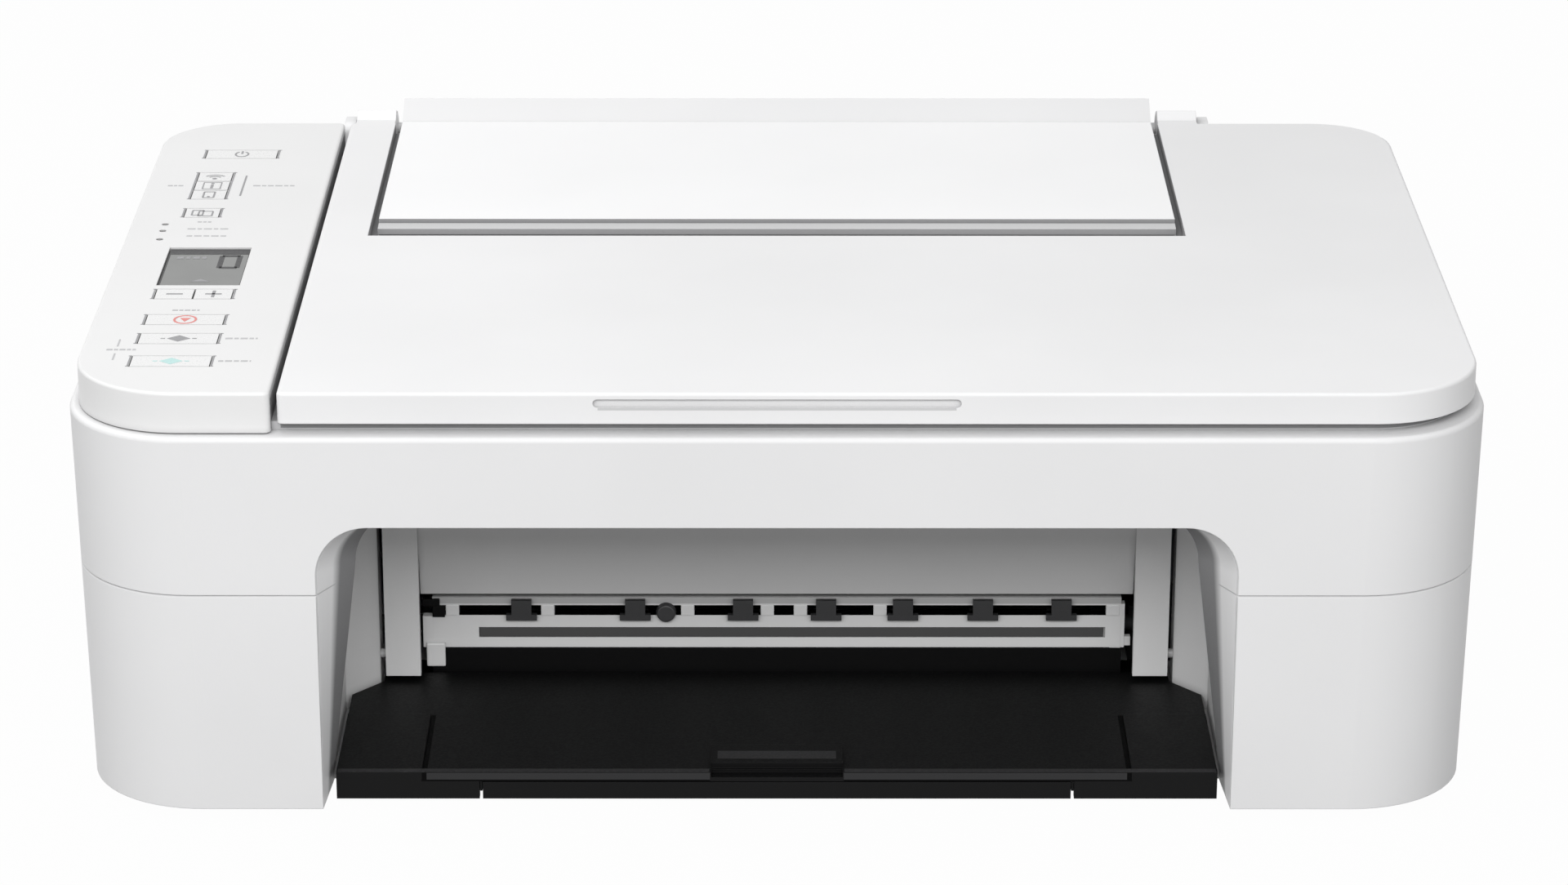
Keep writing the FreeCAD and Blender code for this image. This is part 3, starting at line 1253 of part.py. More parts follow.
def output_tray():
    """Sliding tray: front with lip and wings, top plate, side rails, raised wings and a grip tab."""
    face_back = "(tray_front + tray_face)"
    plate_low = "(tray_top - tray_skin)"
    rail_inner = "(extension_half + extension_gap)"
    rail_low = f"({BASE_TOP} + slide_gap)"
    items = [
        box("tray_plate", f"-{TRAY_HALF}", TRAY_HALF, "tray_front", "tray_narrow", plate_low, "tray_top"),
        box("tray_plate_rear", "-tray_neck", "tray_neck", "tray_narrow", "tray_back", plate_low, "tray_top"),
        box("tray_lip_piece", f"-{TRAY_HALF}", TRAY_HALF, "tray_front", face_back, "tray_lip", "tray_rim"),
    ]
    for side, sign in (("left", "-"), ("right", "")):
        body = new_body(f"tray_corner_{side}")
        points = [
            (f"{sign}tray_neck", "tray_narrow"),
            (f"{sign}{TRAY_HALF}", "tray_narrow"),
            (f"{sign}tray_neck", "tray_narrow + tray_taper"),
        ]
        pad(body, f"tray_corner_{side}_pad", "XY_Plane", plate_low, "tray_top", points)
        items.append(body)
    items += both_sides("tray_cheek", rail_inner, TRAY_HALF, "tray_front", face_back, "tray_low", "tray_rim")
    items += both_sides("tray_rail", rail_inner, TRAY_HALF, face_back, "tray_narrow", rail_low, plate_low)
    items += both_sides(
        "tray_wing_piece", "tray_wing", TRAY_HALF, face_back, "tray_step", "tray_top",
        "tray_top + wing_rise",
    )
    items.append(
        box(
            "tray_tab", "-tab_half", "tab_half", f"{face_back} + tab_notch", "tab_back", plate_low,
            "tray_top + tab_rise",
        )
    )
    solid = fuse("output_tray_solid", items)
    notch = box(
        "tray_notch", "-tab_half", "tab_half", "tray_front - tab_notch", f"{face_back} + tab_notch / 2",
        "tray_top - tray_skin / 2", "tray_rim + cut_margin",
    )
    return keep("output_tray", cut("output_tray", solid, [notch]))


def tray_extension():
    """Second slide under the tray's plate, with the middle of the tray front as its face."""
    face_back = "(tray_front + tray_face)"
    plate_high = "(tray_lip - slide_gap)"
    plate = box(
        "extension_plate", "-extension_half", "extension_half", "tray_front", "extension_back",
        f"{plate_high} - extension_thick", plate_high,
    )
    face = box(
        "extension_face", "-extension_half", "extension_half", "tray_front", face_back,
        "tray_low", plate_high,
    )
    return keep("tray_extension", fuse("tray_extension", [plate, face]))


def tray_base():
    """Fixed floor under the tray."""
    front = box(
        "base_wide", "-base_half", "base_half", f"{RETURN_BACK} + liner_gap", "tray_narrow", FLOOR, BASE_TOP
    )
    rear = box("base_narrow", "-tray_neck", "tray_neck", "tray_narrow", "base_back", FLOOR, BASE_TOP)
    return keep("tray_base", fuse("tray_base", [front, rear]))


def paper_outlet():
    """Eject frame with its lower bar and bridge, and the star wheel blocks in front of it."""
    bar_back = "(outlet_front + outlet_depth)"
    items = [
        box(
            "outlet_bar", "-outlet_half", "outlet_half", "outlet_front", bar_back, "outlet_low",
            "outlet_high",
        ),
        box(
            "outlet_bridge", "-outlet_half", "outlet_half", "outlet_front", "bridge_back", "bridge_low",
            "bridge_high",
        ),
    ]
    items += both_sides(
        "outlet_post_piece", "outlet_half - outlet_post", "outlet_half", "outlet_front", bar_back, BASE_TOP,
        "bridge_high"
    )
    solid = fuse("eject_frame_solid", items)
    strip = box(
        "outlet_strip", "strip_left", "strip_right", "outlet_front - strip_depth",
        "outlet_front + strip_depth",
        "strip_low", "strip_high",
    )
    keep("eject_frame", cut("eject_frame", solid, [strip]))
    blocks = []
    front = "(outlet_front - wheel_block_depth)"
    for order in WHEEL_PLACES:
        middle = f"wheel_place_{order}"
        block = box(
            f"wheel_block_{order}", f"{middle} - wheel_block / 2", f"{middle} + wheel_block / 2",
            front, "outlet_front", "wheel_block_low", "wheel_block_high",
        )
        foot = box(
            f"wheel_foot_{order}", f"{middle} - wheel_foot / 2", f"{middle} + wheel_foot / 2",
            front, "outlet_front", "wheel_foot_low", "wheel_block_low",
        )
        blocks.append(fuse(f"wheel_holder_{order}", [block, foot]))
    keep("star_wheel_blocks", group("star_wheel_blocks", blocks))


def paper_rollers():
    """Feed roller, eject roller with its rings, pick-up roller, and the platen between them."""
    reach = f"({SIDE_PLATE} + chassis_thick)"
    feed = fuse("feed_roller", [
        rod("feed_axle", "x", "feed_shaft", f"-{reach}", reach, "feed_back", "feed_height"),
        rod("feed_surface", "x", "feed_radius", "-feed_half", "feed_half", "feed_back", "feed_height"),
    ])
    keep("feed_roller", feed)
    rings = [rod("eject_axle", "x", "eject_shaft", f"-{reach}", reach, "eject_back", "eject_height")]
    for order in WHEEL_PLACES:
        middle = f"wheel_place_{order}"
        ring = rod(
            f"eject_ring_{order}", "x", "eject_radius", f"{middle} - eject_ring / 2",
            f"{middle} + eject_ring / 2",
            "eject_back", "eject_height",
        )
        rings.append(ring)
    keep("eject_roller", fuse("eject_roller", rings))
    shaft_end = "(chute_half + cheek_thick)"
    pickup = fuse("pickup_roller", [
        rod("pickup_axle", "x", "pickup_shaft", f"-{shaft_end}", shaft_end, "pickup_back", "pickup_height"),
        rod(
            "pickup_surface", "x", "pickup_radius", "-pickup_half", "pickup_half", "pickup_back",
            "pickup_height",
        ),
    ])
    keep("pickup_roller", pickup)
    plate = box(
        "platen_plate", "-outlet_half", "outlet_half", "platen_front", "platen_back", "platen_low",
        "platen_high",
    )
    legs = both_sides(
        "platen_leg_piece", "outlet_half - 2 * platen_leg", "outlet_half - platen_leg", "platen_front",
        "platen_back",
        FLOOR, "platen_low",
    )
    keep("platen", fuse("platen", [plate] + legs))


def gear_places():
    """Centres of the gear train in the side view (y, z)."""
    module, slack = size("gear_module"), size("gear_slack")
    feed = (size("feed_back"), size("feed_height"))
    eject = (size("eject_back"), size("eject_height"))
    feed_arm = module * (size("feed_teeth") + size("idler_teeth")) / 2 + slack
    eject_arm = module * (size("eject_teeth") + size("idler_teeth")) / 2 + slack
    span = math.hypot(eject[0] - feed[0], eject[1] - feed[1])
    along = (feed_arm ** 2 - eject_arm ** 2 + span ** 2) / (2 * span)
    rise = math.sqrt(max(feed_arm ** 2 - along ** 2, 0))
    step = ((eject[0] - feed[0]) / span, (eject[1] - feed[1]) / span)
    idler = (feed[0] + along * step[0] + rise * step[1], feed[1] + along * step[1] - rise * step[0])
    pinion_arm = module * (size("feed_teeth") + size("pinion_teeth")) / 2 + slack
    angle = math.radians(size("pinion_angle"))
    pinion = (feed[0] + pinion_arm * math.cos(angle), feed[1] + pinion_arm * math.sin(angle))
    return {"feed": feed, "eject": eject, "idler": idler, "pinion": pinion}


GEARS = gear_places()


def mesh_turn(first, second, first_turn):
    """Turn of the second gear that puts its gap opposite a tooth of the first."""
    start, end = GEARS[first], GEARS[second]
    direction = math.atan2(end[1] - start[1], end[0] - start[0])
    first_radius = size("gear_module") * size(f"{first}_teeth") / 2
    second_radius = size("gear_module") * size(f"{second}_teeth") / 2
    offset = (first_turn - direction) * first_radius
    half_pitch = math.pi * size("gear_module") / 2
    return direction + math.pi - (offset + half_pitch) / second_radius


def gear(name, key, turn, bore_radius):
    """Spur gear on an axis along X: a disc, one tooth and its pattern, turned into mesh."""
    body = new_body(f"{name}_body")
    root = f"(gear_module * {key}_teeth / 2 - tooth_root * gear_module)"
    tip = f"(gear_module * {key}_teeth / 2 + tooth_top * gear_module)"
    disc = body.newObject("PartDesign::AdditiveCylinder", f"{name}_disc")
    bind(disc, "Radius", root)
    bind(disc, "Height", "gear_wide")
    body.Tip = disc
    doc.recompute()
    half_root = "(gear_module * (tooth_half + tooth_root * tooth_slope))"
    half_tip = "(gear_module * (tooth_half - tooth_top * tooth_slope))"
    points = [
        (f"{root} - gear_module / 2", f"-{half_root}"),
        (root, f"-{half_root}"),
        (tip, f"-{half_tip}"),
        (tip, half_tip),
        (root, half_root),
        (f"{root} - gear_module / 2", half_root),
    ]
    tooth = pad(body, f"{name}_tooth", "XY_Plane", "0 * wall", "gear_wide", points)
    pattern = body.newObject("PartDesign::PolarPattern", f"{name}_teeth")
    pattern.Originals = [tooth]
    axis = [feature for feature in body.Origin.OriginFeatures if feature.Role == "Z_Axis"][0]
    pattern.Axis = (axis, [""])
    pattern.Angle = FULL_TURN
    bind(pattern, "Occurrences", f"{key}_teeth")
    body.Tip = pattern
    if bore_radius:
        hole = body.newObject("PartDesign::SubtractiveCylinder", f"{name}_bore")
        bind(hole, "Radius", bore_radius)
        bind(hole, "Height", "gear_wide")
        body.Tip = hole
    upright = FreeCAD.Rotation(
        FreeCAD.Vector(0, 1, 0), FreeCAD.Vector(0, 0, 1), FreeCAD.Vector(1, 0, 0), "ZXY"
    )
    spin = FreeCAD.Rotation(FreeCAD.Vector(0, 0, 1), math.degrees(turn))
    left = size("gear_inset") - size("width") / 2 + size("chassis_side")
    centre = FreeCAD.Vector(left, GEARS[key][0], GEARS[key][1])
    body.Placement = FreeCAD.Placement(centre, upright.multiply(spin))
    doc.recompute()
    return body


def gear_shaft(name, key, radius, start, end):
    """Round bar on a gear's axis."""
    item = rod(name, "x", radius, start, end, "feed_back", "feed_height")
    item.setExpression("Placement.Base.y", None)
    item.setExpression("Placement.Base.z", None)
    doc.recompute()
    base = item.Placement.Base
    item.Placement = FreeCAD.Placement(FreeCAD.Vector(base.x, GEARS[key][0], GEARS[key][1]), TURNS["x"])
    return item


def gear_train():
    """Motor pinion, feed gear, idler gear and eject gear, in mesh at rest."""
    feed_turn = 0
    idler_turn = mesh_turn("feed", "idler", feed_turn)
    eject_turn = mesh_turn("idler", "eject", idler_turn)
    pinion_turn = mesh_turn("feed", "pinion", feed_turn)
    keep("feed_gear", gear("feed_gear", "feed", feed_turn, "feed_shaft + seat_gap"))
    keep("eject_gear", gear("eject_gear", "eject", eject_turn, "eject_shaft + seat_gap"))
    plate_out = f"(-{SIDE_PLATE} - chassis_thick)"
    wheel = gear("idler_wheel", "idler", idler_turn, None)
    axle = gear_shaft("idler_axle", "idler", "idler_shaft", plate_out, GEAR_RIGHT)
    keep("idler_gear", fuse("idler_gear", [wheel, axle]))
    wheel = gear("pinion_wheel", "pinion", pinion_turn, None)
    axle = gear_shaft("pinion_axle", "pinion", "pulley_shaft", f"{plate_out} - motor_bore", GEAR_RIGHT)
    keep("motor_pinion", fuse("motor_pinion", [wheel, axle]))
    motor_end = f"({plate_out} - feed_motor_length)"
    can = gear_shaft("feed_motor_can", "pinion", "motor_radius", motor_end, plate_out)
    bore = gear_shaft(
        "feed_motor_bore", "pinion", "pulley_shaft + running_gap", f"{plate_out} - motor_bore - wall",
        plate_out,
    )
    keep("feed_motor", cut("feed_motor", can, [bore]))


def chassis():
    """Sheet metal frame: back plate, two side plates with bearings, and four screwed feet."""
    plate_back = "(chassis_plate + chassis_thick)"
    items = [
        box(
            "chassis_back", f"-{SIDE_PLATE}", SIDE_PLATE, "chassis_plate", plate_back, "chassis_plate_low",
            "chassis_top",
        )
    ]
    points = [
        ("chassis_front", FLOOR),
        ("chassis_tail", FLOOR),
        ("chassis_tail", "chassis_plate_low"),
        (plate_back, "chassis_waist"),
        (plate_back, "chassis_top"),
        ("chassis_step", "chassis_top"),
        ("chassis_step", "chassis_waist"),
        ("chassis_front", "chassis_nose"),
    ]
    outer = f"({SIDE_PLATE} + chassis_thick)"
    for side, start, end in (("left", f"-{outer}", f"-{SIDE_PLATE}"), ("right", SIDE_PLATE, outer)):
        body = new_body(f"chassis_side_{side}_body")
        pad(body, f"chassis_side_{side}", "YZ_Plane", start, end, points)
        items.append(body)
    for name in ("front", "back"):
        items += both_sides(
            f"chassis_foot_{name}", f"{SIDE_PLATE} - chassis_foot", SIDE_PLATE,
            f"screw_{name} - chassis_foot_length / 2", f"screw_{name} + chassis_foot_length / 2",
            FLOOR, f"{FLOOR} + chassis_thick",
        )
    solid = fuse("chassis_solid", items)
    tools = screw_holes("chassis", f"{FLOOR} - wall", f"{FLOOR} + 2 * wall")
    tools += [
        rod("rod_seat", "x", "rod_radius + seat_gap", f"-{HALF}", HALF, "rod_back", "rod_height"),
        rod("feed_bearing", "x", "feed_shaft + running_gap", f"-{HALF}", HALF, "feed_back", "feed_height"),
        rod(
            "eject_bearing", "x", "eject_shaft + running_gap", f"-{HALF}", HALF, "eject_back",
            "eject_height",
        ),
        gear_shaft("idler_bearing", "idler", "idler_shaft + running_gap", f"-{HALF}", "-arch_half"),
        gear_shaft("pinion_hole", "pinion", "pulley_shaft + running_gap", f"-{HALF}", "-arch_half"),
    ]
    for sign, side in (("-", "left"), ("", "right")):
        tools.append(
            rod(
                f"pulley_hole_{side}", "y", "pulley_shaft + running_gap", "chassis_plate - wall",
                f"{plate_back} + wall",
                f"{sign}{PULLEY_PLACE}", "pulley_height",
            )
        )
    keep("chassis", cut("chassis", solid, tools))
    reach = outer
    keep("carriage_rod", rod("carriage_rod", "x", "rod_radius", f"-{reach}", reach, "rod_back", "rod_height"))
    screws = []
    for name, across, along in screw_places():
        shank = rod(
            f"screw_shank_{name}", "z", "screw_radius", "foot_height", "foot_height + screw_length", across,
            along
        )
        head = rod(
            f"screw_head_{name}", "z", "screw_head", "foot_height - screw_head_height", "foot_height",
            across, along
        )
        screws.append(fuse(f"screw_{name}", [shank, head]))
    keep("chassis_screws", group("chassis_screws", screws))


def carriage():
    """Carriage on its rod, open at the front, with two cartridges whose heads reach through its floor."""
    middle = CARRIAGE_MIDDLE
    half = "(carriage_wide / 2)"
    left, right = f"({middle} - {half})", f"({middle} + {half})"
    floor_top = "(carriage_low + carriage_wall)"
    items = [
        box("carriage_floor", left, right, "carriage_front", "carriage_split", "carriage_low", floor_top),
        box(
            "carriage_left", left, f"{left} + carriage_wall", "carriage_front", "carriage_split",
            "carriage_low", "carriage_high",
        ),
        box(
            "carriage_right", f"{right} - carriage_wall", right, "carriage_front", "carriage_split",
            "carriage_low", "carriage_high",
        ),
        box(
            "carriage_middle", f"{middle} - carriage_wall / 2", f"{middle} + carriage_wall / 2",
            "carriage_front", "carriage_split", "carriage_low", "carriage_high",
        ),
        box(
            "carriage_rear", left, right, "carriage_split - carriage_wall", "carriage_split",
            "carriage_low", "carriage_high",
        ),
        box(
            "carriage_bearing", left, right, "carriage_split", "carriage_back", "bearing_low",
            "bearing_high",
        ),
        box(
            "carriage_clamp", f"{middle} - clamp_half", f"{middle} + clamp_half", "carriage_split",
            "belt_front + belt_wide",
            "clamp_low", "pulley_height - pulley_radius - belt_gap - belt_thick - clamp_gap",
        ),
    ]
    solid = fuse("carriage_solid", items)
    tools = [rod("carriage_bore", "x", "rod_radius + running_gap", left, right, "rod_back", "rod_height")]
    cartridges = []
    bays = (
        ("cartridge_color", f"({left} + carriage_wall)", f"({middle} - carriage_wall / 2)"),
        ("cartridge_black", f"({middle} + carriage_wall / 2)", f"({right} - carriage_wall)"),
    )
    for name, bay_left, bay_right in bays:
        head_left, head_right = f"({bay_left} + head_side)", f"({bay_right} - head_side)"
        tools.append(
            box(
                f"{name}_opening", f"{head_left} - cartridge_gap", f"{head_right} + cartridge_gap",
                "head_front - cartridge_gap", "head_back + cartridge_gap", "carriage_low - wall",
                f"{floor_top} + wall",
            )
        )
        tank = box(
            f"{name}_tank", f"{bay_left} + cartridge_gap", f"{bay_right} - cartridge_gap",
            "carriage_front + carriage_wall", "carriage_split - carriage_wall - cartridge_gap", floor_top,
            "cartridge_high",
        )
        head = box(f"{name}_head", head_left, head_right, "head_front", "head_back", "head_low", floor_top)
        cartridges.append((name, fuse(name, [tank, head])))
    keep("carriage", cut("carriage", solid, tools))
    for name, item in cartridges:
        keep(name, item)


def belt_drive():
    """Timing belt along the back plate, its two pulleys and the carriage motor."""
    belt_back = "(belt_front + belt_wide)"

    def loop(name, radius, front, back):
        ends = [
            rod(f"{name}_right", "y", radius, front, back, PULLEY_PLACE, "pulley_height"),
            rod(f"{name}_left", "y", radius, front, back, f"-{PULLEY_PLACE}", "pulley_height"),
        ]
        run = box(
            f"{name}_run", f"-{PULLEY_PLACE}", PULLEY_PLACE, front, back,
            f"pulley_height - {radius}", f"pulley_height + {radius}",
        )
        return fuse(name, ends + [run])

    outer = loop("belt_outer", "(pulley_radius + belt_gap + belt_thick)", "belt_front", belt_back)
    inner = loop("belt_inner", "(pulley_radius + belt_gap)", "belt_front - wall", f"{belt_back} + wall")
    keep("timing_belt", cut("timing_belt", outer, [inner]))
    plate_back = "(chassis_plate + chassis_thick)"
    for name, across, shaft_end in (
        ("drive_pulley", f"-{PULLEY_PLACE}", f"{plate_back} + motor_bore"),
        ("idler_pulley", PULLEY_PLACE, f"{plate_back} + chassis_thick"),
    ):
        wheel = rod(f"{name}_wheel", "y", "pulley_radius", "belt_front", belt_back, across, "pulley_height")
        shaft = rod(f"{name}_shaft", "y", "pulley_shaft", belt_back, shaft_end, across, "pulley_height")
        keep(name, fuse(name, [wheel, shaft]))
    can = rod(
        "carriage_motor_can", "y", "motor_radius", plate_back, f"{plate_back} + motor_length",
        f"-{PULLEY_PLACE}", "pulley_height",
    )
    bore = rod(
        "carriage_motor_bore", "y", "pulley_shaft + running_gap", plate_back,
        f"{plate_back} + motor_bore + wall",
        f"-{PULLEY_PLACE}", "pulley_height",
    )
    keep("carriage_motor", cut("carriage_motor", can, [bore]))


def paper_chute():
    """Bent paper path from the rear slot down to the feed roller, with cheeks and legs."""
    body = new_body("paper_chute_body")
    upper = [
        ("chute_top_back", "chute_top_height"),
        ("chute_knee_back", "chute_knee_height"),
        ("chute_turn_back", "chute_turn_height"),
        ("chute_flat_back", "chute_flat_height"),
        ("chute_end_back", "chute_end_height"),
    ]
    lower = [
        ("chute_end_back", "chute_end_height - chute_thick"),
        ("chute_flat_back + chute_thick / 4", "chute_flat_height - chute_thick"),
        ("chute_turn_back + chute_thick / 2", "chute_turn_height - chute_thick"),
        ("chute_knee_back + chute_thick", "chute_knee_height - chute_thick / 2"),
        ("chute_top_back + chute_thick", "chute_top_height - chute_thick / 2"),
    ]
    pad(body, "chute_sheet", "YZ_Plane", "-chute_half", "chute_half", upper + lower)
    cheeks = both_sides(
        "chute_cheek", "chute_half - cheek_thick / 2", "chute_half + cheek_thick", "cheek_front",
        "cheek_back",
        FLOOR, "cheek_top",
    )
    legs = both_sides(
        "chute_leg", "chute_half - cheek_thick", "chute_half", "leg_back", "leg_back + cheek_thick",
        FLOOR, "chute_flat_height - chute_thick / 2",
    )
    solid = fuse("paper_chute_solid", [body] + cheeks + legs)
    bore = rod(
        "pickup_bearing", "x", "pickup_shaft + running_gap", f"-{HALF}", HALF, "pickup_back", "pickup_height"
    )
    keep("paper_chute", cut("paper_chute", solid, [bore]))
    slope = "((chute_top_back - chute_knee_back) / (chute_top_height - chute_knee_height))"

    def chute_at(height):
        return f"(chute_knee_back + {slope} * ({height} - chute_knee_height))"

    low, high = chute_at("guide_low"), chute_at("guide_high")
    points = [
        (f"{low} - guide_gap", "guide_low"),
        (f"{high} - guide_gap", "guide_high"),
        (f"{high} - guide_reach", "guide_high"),
        (f"{low} - guide_reach", "guide_low"),
    ]
    for side, start, end in (
        ("left", "-guide_place - guide_thick", "-guide_place"),
        ("right", "guide_place", "guide_place + guide_thick"),
    ):
        guide = new_body(f"paper_guide_{side}")
        pad(guide, f"guide_plate_{side}", "YZ_Plane", start, end, points)
        keep(f"paper_guide_{side}", guide)


def electrics():
    """Power supply, mains inlet, main board, data port and maintenance station."""
    supply = box(
        "power_supply", "supply_left", "supply_left + supply_wide", "supply_front",
        "supply_front + supply_length",
        FLOOR, "supply_high",
    )
    keep("power_supply", supply)
    inlet_left = "(inlet_place - inlet_wide / 2 + port_gap)"
    inlet_right = "(inlet_place + inlet_wide / 2 - port_gap)"
    inlet_back = "(case_back + port_proud)"
    block = box(
        "inlet_block", inlet_left, inlet_right, "supply_front + supply_length", inlet_back,
        "inlet_low + port_gap", "inlet_high - port_gap",
    )
    cavity = box(
        "inlet_cavity", f"{inlet_left} + inlet_rim", f"{inlet_right} - inlet_rim",
        f"{inlet_back} - inlet_sunk",
        f"{inlet_back} + wall", "inlet_low + port_gap + inlet_rim", "inlet_high - port_gap - inlet_rim",
    )
    hollow = cut("inlet_hollow", block, [cavity])
    pins = []
    for sign, side in (("-", "left"), ("+", "right")):
        pins.append(
            rod(
                f"inlet_pin_{side}", "y", "inlet_pin", f"{inlet_back} - inlet_sunk - wall",
                f"{inlet_back} - inlet_rim",
                f"inlet_place {sign} inlet_pin_pitch / 2", "(inlet_low + inlet_high) / 2",
            )
        )
    keep("power_inlet", fuse("power_inlet", [hollow] + pins))
    board_left = f"(mainboard_inset - {HALF})"
    board_back = "(mainboard_back + board_thick)"
    board = box(
        "main_board", board_left, f"{board_left} + mainboard_wide", "mainboard_back", board_back, FLOOR,
        "mainboard_high"
    )
    keep("main_board", board)
    port_left = "(port_gap - port_place - port_wide / 2)"
    port_right = "(port_wide / 2 - port_place - port_gap)"
    block = box(
        "port_block", port_left, port_right, board_back, "case_back + port_proud", "port_low + port_gap",
        "port_high - port_gap"
    )
    cavity = box(
        "port_cavity", f"{port_left} + inlet_rim", f"{port_right} - inlet_rim",
        "case_back - inlet_sunk + wall",
        "case_back + wall", "port_low + port_gap + inlet_rim", "port_high - port_gap - inlet_rim",
    )
    keep("usb_port", cut("usb_port", block, [cavity]))
    station = box(
        "station_body", "station_left", "station_left + station_wide", "platen_front", "station_back",
        FLOOR, "station_high"
    )
    caps = []
    for sign, side in (("-", "left"), ("+", "right")):
        middle = f"({CARRIAGE_MIDDLE} {sign} carriage_wide / 4)"
        caps.append(
            box(
                f"station_cap_{side}", f"{middle} - cap_wide / 2", f"{middle} + cap_wide / 2",
                "head_front", "head_back", "station_high", "cap_high",
            )
        )
    keep("maintenance_station", fuse("maintenance_station", [station] + caps))


def feet():
    """Four rubber feet."""
    items = []
    for sign, side in (("-", "left"), ("", "right")):
        for end, along in (("front", f"{FRONT} + foot_front"), ("rear", "case_back - foot_front")):
            across = f"{sign}({HALF} - foot_side)"
            items.append(
                rod(f"foot_{side}_{end}", "z", "foot_radius", "0 * wall", "foot_height", across, along)
            )
    keep("rubber_feet", group("rubber_feet", items))


lower_case()
upper_case()
rear_housing()
control_panel()
panel_keys()
panel_inside()
document_lid()
lid_pad()
paper_support()
scanner()
side_walls()
cartridge_cover()
output_tray()
tray_extension()
tray_base()
paper_outlet()
paper_rollers()
gear_train()
chassis()
carriage()
belt_drive()
paper_chute()
electrics()
feet()
doc.recompute()

for item in doc.Objects:
    if "Invalid" in item.State or "Error" in item.State:
        raise RuntimeError(f"{item.Name} failed: {item.State}")
for item in nodes:
    if item.Shape.isNull() or not item.Shape.isValid() or not item.Shape.Solids:
        raise RuntimeError(f"{item.Label} has no valid solid")

os.makedirs("parts", exist_ok=True)
for item in nodes:
    item.Shape.exportStep(f"parts/{item.Label}.step")
print(len(nodes), "sub-parts written")
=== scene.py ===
import math

import bmesh
import bpy
from mathutils import Matrix, Vector


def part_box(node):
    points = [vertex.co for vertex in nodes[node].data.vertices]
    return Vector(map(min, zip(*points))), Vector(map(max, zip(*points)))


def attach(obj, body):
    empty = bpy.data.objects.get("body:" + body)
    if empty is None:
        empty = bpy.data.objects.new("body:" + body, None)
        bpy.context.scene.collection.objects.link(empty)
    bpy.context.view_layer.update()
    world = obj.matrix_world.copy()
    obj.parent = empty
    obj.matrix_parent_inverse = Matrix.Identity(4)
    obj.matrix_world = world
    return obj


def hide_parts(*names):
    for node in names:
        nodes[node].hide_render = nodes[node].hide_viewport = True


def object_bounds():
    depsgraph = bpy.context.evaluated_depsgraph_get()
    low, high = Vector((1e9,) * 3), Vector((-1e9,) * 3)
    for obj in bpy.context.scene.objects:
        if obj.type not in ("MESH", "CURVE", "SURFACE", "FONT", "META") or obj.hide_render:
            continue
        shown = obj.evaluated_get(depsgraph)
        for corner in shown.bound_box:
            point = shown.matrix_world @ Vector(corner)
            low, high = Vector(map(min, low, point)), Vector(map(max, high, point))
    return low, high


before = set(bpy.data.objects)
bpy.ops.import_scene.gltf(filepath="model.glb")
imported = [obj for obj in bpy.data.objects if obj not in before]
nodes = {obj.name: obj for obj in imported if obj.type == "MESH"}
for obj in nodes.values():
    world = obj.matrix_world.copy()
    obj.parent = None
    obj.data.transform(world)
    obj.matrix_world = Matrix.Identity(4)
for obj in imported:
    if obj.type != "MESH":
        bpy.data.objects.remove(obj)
cad_low, cad_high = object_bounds()

# Lengths are in millimetres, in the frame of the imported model, where no comment says otherwise.
MM = 0.001
TAU = 2 * math.pi
QUARTER_TURN = TAU / 4
SIDES = ((-1, "left"), (1, "right"))


def box(name):
    """Low and high corner of a node's box."""
    low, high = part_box(name)
    return Vector(low) / MM, Vector(high) / MM


PANEL_LOW, PANEL_HIGH = box("control_panel")
PANEL_TOP = PANEL_HIGH.z
DISPLAY_TOP = box("lcd_module")[1].z
CASE_FRONT = cad_low.y / MM

# Skins are thin plates that carry a second tone on a solid.
SKIN = 0.05
UPWARDS = (0.0, 0.0, SKIN)
FORWARDS = (0.0, -SKIN, 0.0)

# Colours, as linear values.
WHITE_CASE = (0.815, 0.815, 0.82)
WHITE_LID = (0.85, 0.85, 0.855)
WHITE_PANEL = (0.81, 0.81, 0.81)
WHITE_SUPPORT = (0.955, 0.955, 0.96)
WHITE_PAD = (0.85, 0.85, 0.85)
GREY_COVER = (0.85, 0.85, 0.85)
GREY_WALL = (0.86, 0.86, 0.86)
WHITE_FRAME = (0.92, 0.92, 0.92)
GREY_TUB = (0.60, 0.60, 0.61)
BLACK_TRAY = (0.003, 0.003, 0.0032)
BLACK_PARTS = (0.018, 0.018, 0.019)
GREY_CARTRIDGE = (0.10, 0.10, 0.11)
GREY_DISPLAY = (0.20, 0.205, 0.20)
GREY_LAMP = (0.10, 0.10, 0.10)
GREEN_BOARD = (0.02, 0.11, 0.045)
IVORY_GEAR = (0.70, 0.68, 0.60)
STEEL = (0.55, 0.56, 0.58)
BRASS = (0.60, 0.43, 0.16)
RUBBER = (0.025, 0.025, 0.026)
GLASS = (0.86, 0.93, 0.91)
INK_GREY = (0.30, 0.30, 0.31)
INK_PALE = (0.50, 0.50, 0.51)
INK_DARK = (0.03, 0.03, 0.032)
INK_RED = (0.75, 0.24, 0.22)
INK_TEAL = (0.50, 0.74, 0.72)
STRIP_GREY = (0.085, 0.085, 0.085)
KNOB_GREY = (0.045, 0.045, 0.047)
# Painted shade and painted light on the bay's surround: shaded grey towards its back, and a tone paler
# than the case at its front.
SHADE_GREY = (0.28, 0.28, 0.285)
SURROUND_PAINTED_LIGHT = (0.93, 0.93, 0.935)
OUTLET_GREY = (0.58, 0.58, 0.58)
